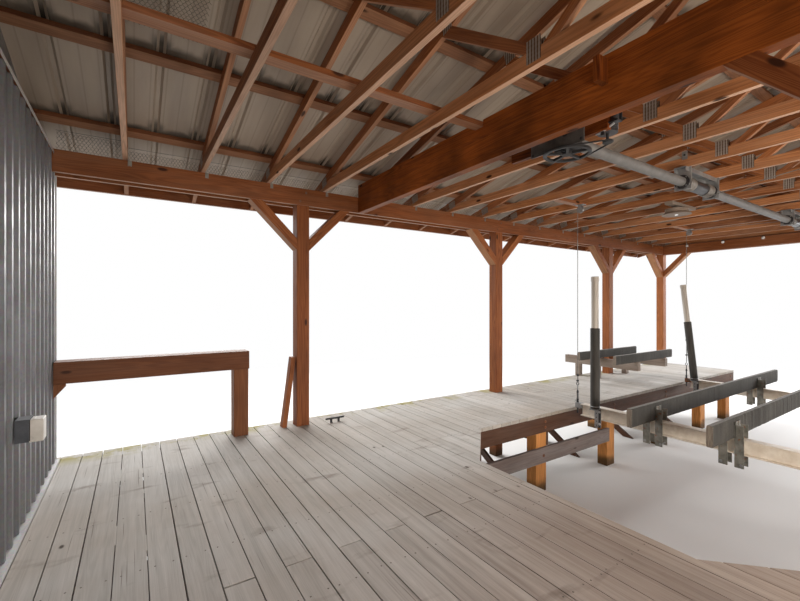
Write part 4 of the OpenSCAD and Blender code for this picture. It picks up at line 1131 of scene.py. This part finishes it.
wire = steel("wire_rope", (0.36, 0.35, 0.33), (0.14, 0.13, 0.12), 0.42, 0.6)
tube_bm = node_bmesh("drive_tube")
round_edges(tube_bm, 0.002, 1)
for face in tube_bm.faces:
    off_axis = max(math.hypot(v.co.y - TUBE_Y, v.co.z - TUBE_Z) for v in face.verts)
    face.material_index = 2 if off_axis > 0.047 else 0
rope_turns(tube_bm)
new_piece("drive_tube_dressed", tube_bm, [tube_metal, wire, dark_metal], "boathouse", "drive_tube",
          slot="grey_metal", round_parts=True)


def winder_details(bm):
    """A bearing with four bolts on each plate, two bolts over it, and the strap on a chord."""
    for x in [x for pair in WINDERS for x in pair]:
        face = x - 0.027
        rod(bm, (face + 0.001, TUBE_Y, TUBE_Z), (face - 0.006, TUBE_Y, TUBE_Z), 0.050, 24, m=1)
        for degrees in (45, 135, 225, 315):
            turn = math.radians(degrees)
            place = (face, TUBE_Y + 0.0535 * math.cos(turn), TUBE_Z + 0.0535 * math.sin(turn))
            bolt(bm, place, (-1, 0, 0), 0.0065, 0.006)
        for dy in (-0.03, 0.03):
            bolt(bm, (x + 0.035, TUBE_Y + dy, 3.5368), (0, 0, -1), 0.009, 0.007)
    chord_x = truss_xs[8] - HALF
    brick(bm, (chord_x - 0.0035, 1.828, 3.612), (chord_x, 1.873, 3.687))
    bolt(bm, (chord_x - 0.0035, 1.850, 3.652), (-1, 0, 0), 0.009, 0.007, m=1)


winder_bm = node_bmesh("winder_frames")
round_edges(winder_bm, 0.0015, 1)
for face in winder_bm.faces:
    middle = face.calc_center_median()
    off_axis = math.hypot(middle.y - TUBE_Y, middle.z - TUBE_Z)
    beside = any(x - 0.028 < middle.x < x - 0.0055 for pair in WINDERS for x in pair)
    face.material_index = int(beside and off_axis < 0.0635)
winder_details(winder_bm)
new_piece("winder_frames_dressed", winder_bm, [grey_metal, dark_metal], "boathouse", "winder_frames",
          slot="grey_metal", round_parts=True)
dress("lift_pulleys", [light_metal, grey_metal], 0.0012, lambda low, high: int(high.z > 3.535),
      slot="grey_metal")
paint("fixed_cables", wire)
print("drive and winders dressed")

# %% [markdown]
# ## Cables and turnbuckles
# A wire rope runs from each pulley down to a turnbuckle on the end of a lifting beam. When the cradle
# goes up, the hanging length gets shorter. Here each rope is one piece of many rings. Clamps, an eye
# and a threaded rod make the lower end.

# %% Hang the cables
lift_xs, cable_ys = (0.1551, 3.2463), (0.487, 3.260)
foot_z, head_z = 1.2845, 3.4792
ropes = bmesh.new()
for x in lift_xs:
    for y in cable_ys:
        rod(ropes, (x, y, foot_z), (x, y, head_z), 0.004, 8)
upright = [e for e in ropes.edges if abs(e.verts[0].co.z - e.verts[1].co.z) > 1]
bmesh.ops.subdivide_edges(ropes, edges=upright, cuts=30, use_grid_fill=True)
hanging = new_piece("hanging_ropes", ropes, wire, None, "lift_cables", slot="cable_wire", round_parts=True)
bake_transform(hanging)

clamps = bmesh.new()
# The heights of the two clamps, and where the rope's short end stops
for x, heights, end_z in zip(lift_xs, ((1.372, 1.300), (1.670, 1.416)), (1.395, 1.69)):
    for y in cable_ys:
        for z in heights:
            brick(clamps, (x - 0.007, y - 0.012, z - 0.011), (x + 0.009, y + 0.012, z + 0.011))
            for dy in (-0.0075, 0.0075):
                rod(clamps, (x - 0.007, y + dy, z), (x - 0.019, y + dy, z), 0.003, 6)
        rod(clamps, (x + 0.0085, y, 1.290), (x + 0.0085, y, end_z), 0.0035, 6, m=1)
new_piece("rope_clamps", clamps, [dark_metal, wire], "cradle", slot="dark_metal", round_parts=True)

# %% Build the turnbuckles
BEAM_LOW, BEAM_TOP = 0.964, 1.024
# The heights of a bar's ends, its radius, sides and material, and its radius at the second end
bars = ((1.180, 1.245, 0.0075, 8, 1, None), (1.150, 1.182, 0.016, 12, 0, 0.009),
        (1.062, 1.166, 0.0062, 8, 1, None), (1.040, 1.070, 0.010, 12, 0, 0.016),
        (1.0243, 1.042, 0.015, 6, 0, None), (0.9635, 0.890, 0.008, 8, 0, None),
        (0.9635, 0.948, 0.016, 6, 0, None))
buckles = bmesh.new()
for x, metal in zip(lift_xs, (1, 2)):
    for y, way in zip(cable_ys, (-1, 1)):
        ring(buckles, (x, y, 1.262), (1, 0, 0), 0.017, 0.0045, 16, 6)
        for first, last, radius, sides, m, end in bars:
            rod(buckles, (x, y, first), (x, y, last), radius, sides, m, end)
        for dx in (-0.0105, 0.0105):
            rod(buckles, (x + dx, y, 1.066), (x + dx, y, 1.156), 0.0055, 8)
        a, b = sorted((y - way * 0.070, y + way * 0.015))
        brick(buckles, (x - 0.030, a, BEAM_TOP - 0.008), (x + 0.030, b, BEAM_TOP), metal)
        brick(buckles, (x - 0.030, a, BEAM_LOW), (x + 0.030, b, BEAM_LOW + 0.008), metal)
        for dx in (-0.030, 0.024):
            brick(buckles, (x + dx, a, BEAM_LOW + 0.008), (x + dx + 0.006, b, BEAM_TOP - 0.008), metal)
        ring(buckles, (x - 0.034, y + way * 0.004, 1.040), (0, 1, 0), 0.016, 0.004, 10, 6, m=1, sweep=200,
             start=(-1, 0, 0))
        bolt(buckles, (x - 0.030, y - way * 0.040, 0.994), (-1, 0, 0), 0.009, 0.008, m=metal)
new_piece("turnbuckles_dressed", buckles, [dark_metal, grey_metal, rusty_metal], "cradle", "turnbuckles",
          slot="dark_metal", round_parts=True)
print("four ropes hung")

# %% [markdown]
# ## Lifting beams, bunks and guide poles
# Two light beams carry the bunks, which are boards on edge wrapped in carpet. Carpet is not flat: it
# ripples along the board and its cut end frays. The board is cut into many strips and its points are
# moved by a few millimetres. Bolted plates and angles hold each bunk on both sides of the beam.

# %% Wrap the bunks
def carpet_finish():
    """Dark cord carpet, paler on top, where it is dusty and worn."""
    f = Finish("bunk_carpet", 0.95)
    place = f.place()
    pile = f.noise(place, 480.0, 2.0, 0.7)
    ribs = f.noise(f.stretch(place, (60, 1, 3)), 1.0, 2.0)
    wear = f.noise(place, 3.0, 4.0)
    tint = f.ramp(wear, [(0.3, (0.030, 0.029, 0.027)), (0.55, (0.044, 0.043, 0.040)),
                         (0.75, (0.070, 0.067, 0.061))])
    tint = f.blend(f.ramp(ribs, [(0.5, 0), (0.75, 0.35)]), tint, (0.105, 0.098, 0.088))
    normal = f.axis(f.add("NewGeometry", out="Normal"), "Z")
    tint = f.blend(f.ramp(normal, [(0.45, 0), (0.9, 0.75)]), tint, (0.22, 0.205, 0.185))
    f.colour(f.blend(f.ramp(pile, [(0.35, 0.35), (0.6, 0.0)]), tint, (0.05, 0.047, 0.042)))
    f.shader.inputs["Sheen Weight"].default_value = 0.1
    first = f.bump(ribs, 0.002, 0.4)
    f.bump(pile, 0.0012, 0.8, first)
    return f.material


def worn_end_finish():
    """The bare backing at the ends of a board."""
    f = Finish("worn_bunk_end", 0.9)
    place = f.place()
    weave = f.noise(f.stretch(place, (40, 200, 12)), 1.0, 3.0)
    f.colour(f.ramp(weave, [(0.3, (0.13, 0.105, 0.085)), (0.7, (0.36, 0.31, 0.26))]))
    f.bump(weave, 0.002, 0.7)
    return f.material


carpet, worn_end = carpet_finish(), worn_end_finish()


def tight(x):
    """Depth of the ripples of carpet that lies close."""
    return 0.0018


def loose_past_the_beam(x):
    """Depth of the ripples of carpet that has come loose past the shore end's beam."""
    return 0.0015 + 0.004 * (x > 0.35)


def wrapped_board(bm, low, high, ripple, seed):
    """A carpeted board on edge between two corners, rippled as deep as ripple(x) says, in metres."""
    board = bmesh.new()
    brick(board, low, high)
    for axis, cuts in ((0, 120), (2, 5)):
        lines = [e for e in board.edges if abs((e.verts[0].co - e.verts[1].co)[axis]) > 1e-4
                 and sum(abs(c) > 1e-4 for c in (e.verts[0].co - e.verts[1].co)) == 1]
        bmesh.ops.subdivide_edges(board, edges=lines, cuts=cuts, use_grid_fill=True)
    middle = (Vector(low) + Vector(high)) / 2
    half_high = (high[2] - low[2]) / 2
    for v in board.verts:
        off = v.co - middle
        depth = ripple(v.co.x) * (0.5 + noise.noise(Vector((v.co.x * 21, v.co.z * 2.2, seed))))
        v.co.y -= math.copysign(max(depth, 0), off.y)
        corner = max(0.0, abs(off.z) / half_high - 0.92) / 0.08
        v.co.y -= math.copysign(0.006 * corner, off.y)
        sag = 0.0018 * max(0, noise.noise(Vector((v.co.x * 6, seed, 0))))
        v.co.z -= math.copysign(sag, off.z) * corner
    for face in board.faces:
        face.material_index = int(abs(face.normal.x) > 0.9)
    add_bmesh(bm, board)


BUNK_YS, BUNK_HALF = (1.6485, 2.3385), 0.026
bunk_low, bunk_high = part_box("lift_bunks")
bunk_ends = (bunk_low.x + 0.004, bunk_high.x - 0.004)
bunks = bmesh.new()
for y, seed, ripple in zip(BUNK_YS, (3, 8), (loose_past_the_beam, tight)):
    wrapped_board(bunks, (bunk_ends[0], y - BUNK_HALF, bunk_low.z),
                  (bunk_ends[1], y + BUNK_HALF, bunk_high.z), ripple, seed)
    for end, way in zip(bunk_ends, (-1, 1)):
        for i in range(9):
            z = bunk_low.z + 0.012 + i * 0.0205
            dy = chance.uniform(-0.004, 0.004)
            for side in (-1, 1):
                tuft = (end - way * 0.012, y + side * 0.0255, z + chance.uniform(-0.005, 0.005))
                rod(bunks, (end + way * 0.002, y + side * 0.0205 + dy * 0.3, z), tuft, 0.0032, 5, m=1)
new_piece("bunks_wrapped", bunks, [carpet, worn_end], "cradle", "lift_bunks", slot="bunk_carpet")

ski_low, ski_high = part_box("ski_bunks")
rests = bmesh.new()
for y0, y1, seed in ((3.634, 3.686, 12), (4.258, 4.310, 15)):
    wrapped_board(rests, (ski_low.x + 0.003, y0, ski_low.z), (ski_high.x - 0.003, y1, ski_high.z),
                  tight, seed)
new_piece("ski_bunks_wrapped", rests, [carpet, worn_end], "boathouse", "ski_bunks", slot="bunk_carpet")
print("four carpeted boards")

# %% Clamp the bunks
straps = bmesh.new()
for x in lift_xs:
    for y in BUNK_YS:
        for side in (-1, 1):
            face = y + side * BUNK_HALF
            through_y, through_z = face + side * 0.052, 0.785
            a, b = sorted((face + side * 0.0003, face + side * 0.008))
            brick(straps, (x - 0.045, a, BEAM_TOP), (x + 0.045, b, 1.174))
            for end in (-1, 1):
                inner, outer = x + end * 0.0503, x + end * 0.0563
                p, q = sorted((inner, outer))
                a, b = sorted((face + side * 0.0003, face + side * 0.072))
                brick(straps, (p, a, 0.758), (q, b, 1.150))
                p, q = sorted((x + end * 0.010, outer))
                a, b = sorted((face + side * 0.008, face + side * 0.0135))
                brick(straps, (p, a, BEAM_TOP + 0.0005), (q, b, 1.180))
                for z in (1.055, 1.140):
                    place = (x + end * 0.030, face + side * 0.0135, z)
                    bolt(straps, place, (0, side, 0), 0.010, 0.008, 1, 0.014)
                bolt(straps, (outer, through_y, through_z), (end, 0, 0), 0.010, 0.009, 1, 0.014)
            rod(straps, (x - 0.056, through_y, through_z), (x + 0.056, through_y, through_z), 0.005, 8, m=1)
round_edges(straps, 0.0009, 1)
new_piece("bunk_angles", straps, [dull_metal, grey_metal], "cradle", "bunk_brackets", slot="grey_metal",
          round_parts=True)
dress("lift_beams", [beam_metal], 0.0012, body="cradle", slot="beam_aluminium")

# %% Stand the guide poles
sleeve_foam = Finish("sleeve_foam", 0.75)
worn_foam = sleeve_foam.noise(sleeve_foam.stretch(sleeve_foam.place(), (18, 18, 2.5)), 1.0, 4.0)
sleeve_foam.colour(sleeve_foam.ramp(worn_foam, [(0.3, (0.028, 0.026, 0.024)),
                                                (0.7, (0.062, 0.058, 0.052))]))
sleeve_foam.bump(sleeve_foam.noise(sleeve_foam.place(), 160.0, 2.0), 0.001, 0.5)
aged = Finish("aged_pole", 0.42)
streak = aged.noise(aged.stretch(aged.place(), (26, 26, 1.4)), 1.0, 4.0)
aged.colour(aged.ramp(streak, [(0.25, (0.38, 0.34, 0.30)), (0.5, (0.50, 0.465, 0.42)),
                               (0.8, (0.58, 0.55, 0.51))]))
aged.bump(streak, 0.0004, 0.4)

# Which beam a pole stands on, how far from the tube's line, and how many degrees it leans
pole_places = ((0, 1.0845, 0), (1, 1.2265, 6), (0, -1.0845, 0), (1, -1.0845, 0))
# The ends of each part along the pole, its radius at both, and its material
pole_parts = ((-0.02, 0.958, 0.0530, None, 0), (0.958, 0.966, 0.0530, 0.0475, 0),
              (0.960, 1.570, 0.0415, None, 1), (1.528, 1.582, 0.0460, None, 1),
              (1.582, 1.585, 0.0460, 0.0425, 1))
poles, hardware = bmesh.new(), bmesh.new()
for number, off, lean in pole_places:
    beam_x = lift_xs[number]
    x, y = beam_x - 0.112, TUBE_Y + off
    foot = Vector((x, y, BEAM_TOP + 0.0005))
    up = Vector((0, math.sin(math.radians(lean)), math.cos(math.radians(lean))))
    one = bmesh.new()
    for first, last, radius, end, m in pole_parts:
        rod(one, foot + up * first, foot + up * last, radius, 28, m, end)
    cut_away(one, foot, (0, 0, -1))
    add_bmesh(poles, one)
    edge = beam_x - 0.050
    brick(hardware, (edge - 0.008, y - 0.040, 0.790), (edge, y + 0.040, BEAM_TOP))
    brick(hardware, (edge - 0.116, y - 0.040, BEAM_TOP - 0.012), (edge, y + 0.040, BEAM_TOP))
    brick(hardware, (edge - 0.014, y - 0.040, 0.790), (edge - 0.008, y - 0.014, 1.012), 2)
    for z in (0.812, 0.860, 0.908, 0.956, 1.000):
        rod(hardware, (edge - 0.008, y + 0.016, z), (edge - 0.0086, y + 0.016, z), 0.0075, 10, m=2)
    for z in (0.836, 0.980):
        bolt(hardware, (edge - 0.014, y - 0.027, z), (-1, 0, 0), 0.010, 0.009, 1, 0.015)
    ring(hardware, (x, y, BEAM_TOP + 0.030), (0, 0, 1), 0.0545, 0.004, 24, 6, m=1)
new_piece("poles_sleeved", poles, [sleeve_foam.material, aged.material], "cradle", "guide_poles",
          slot="pole_plastic", round_parts=True)
round_edges(hardware, 0.0008, 1)
new_piece("pole_straps", hardware, [grey_metal, light_metal, dark_metal], "cradle", "pole_brackets",
          slot="grey_metal", round_parts=True)
print(len(pole_places), "guide poles")
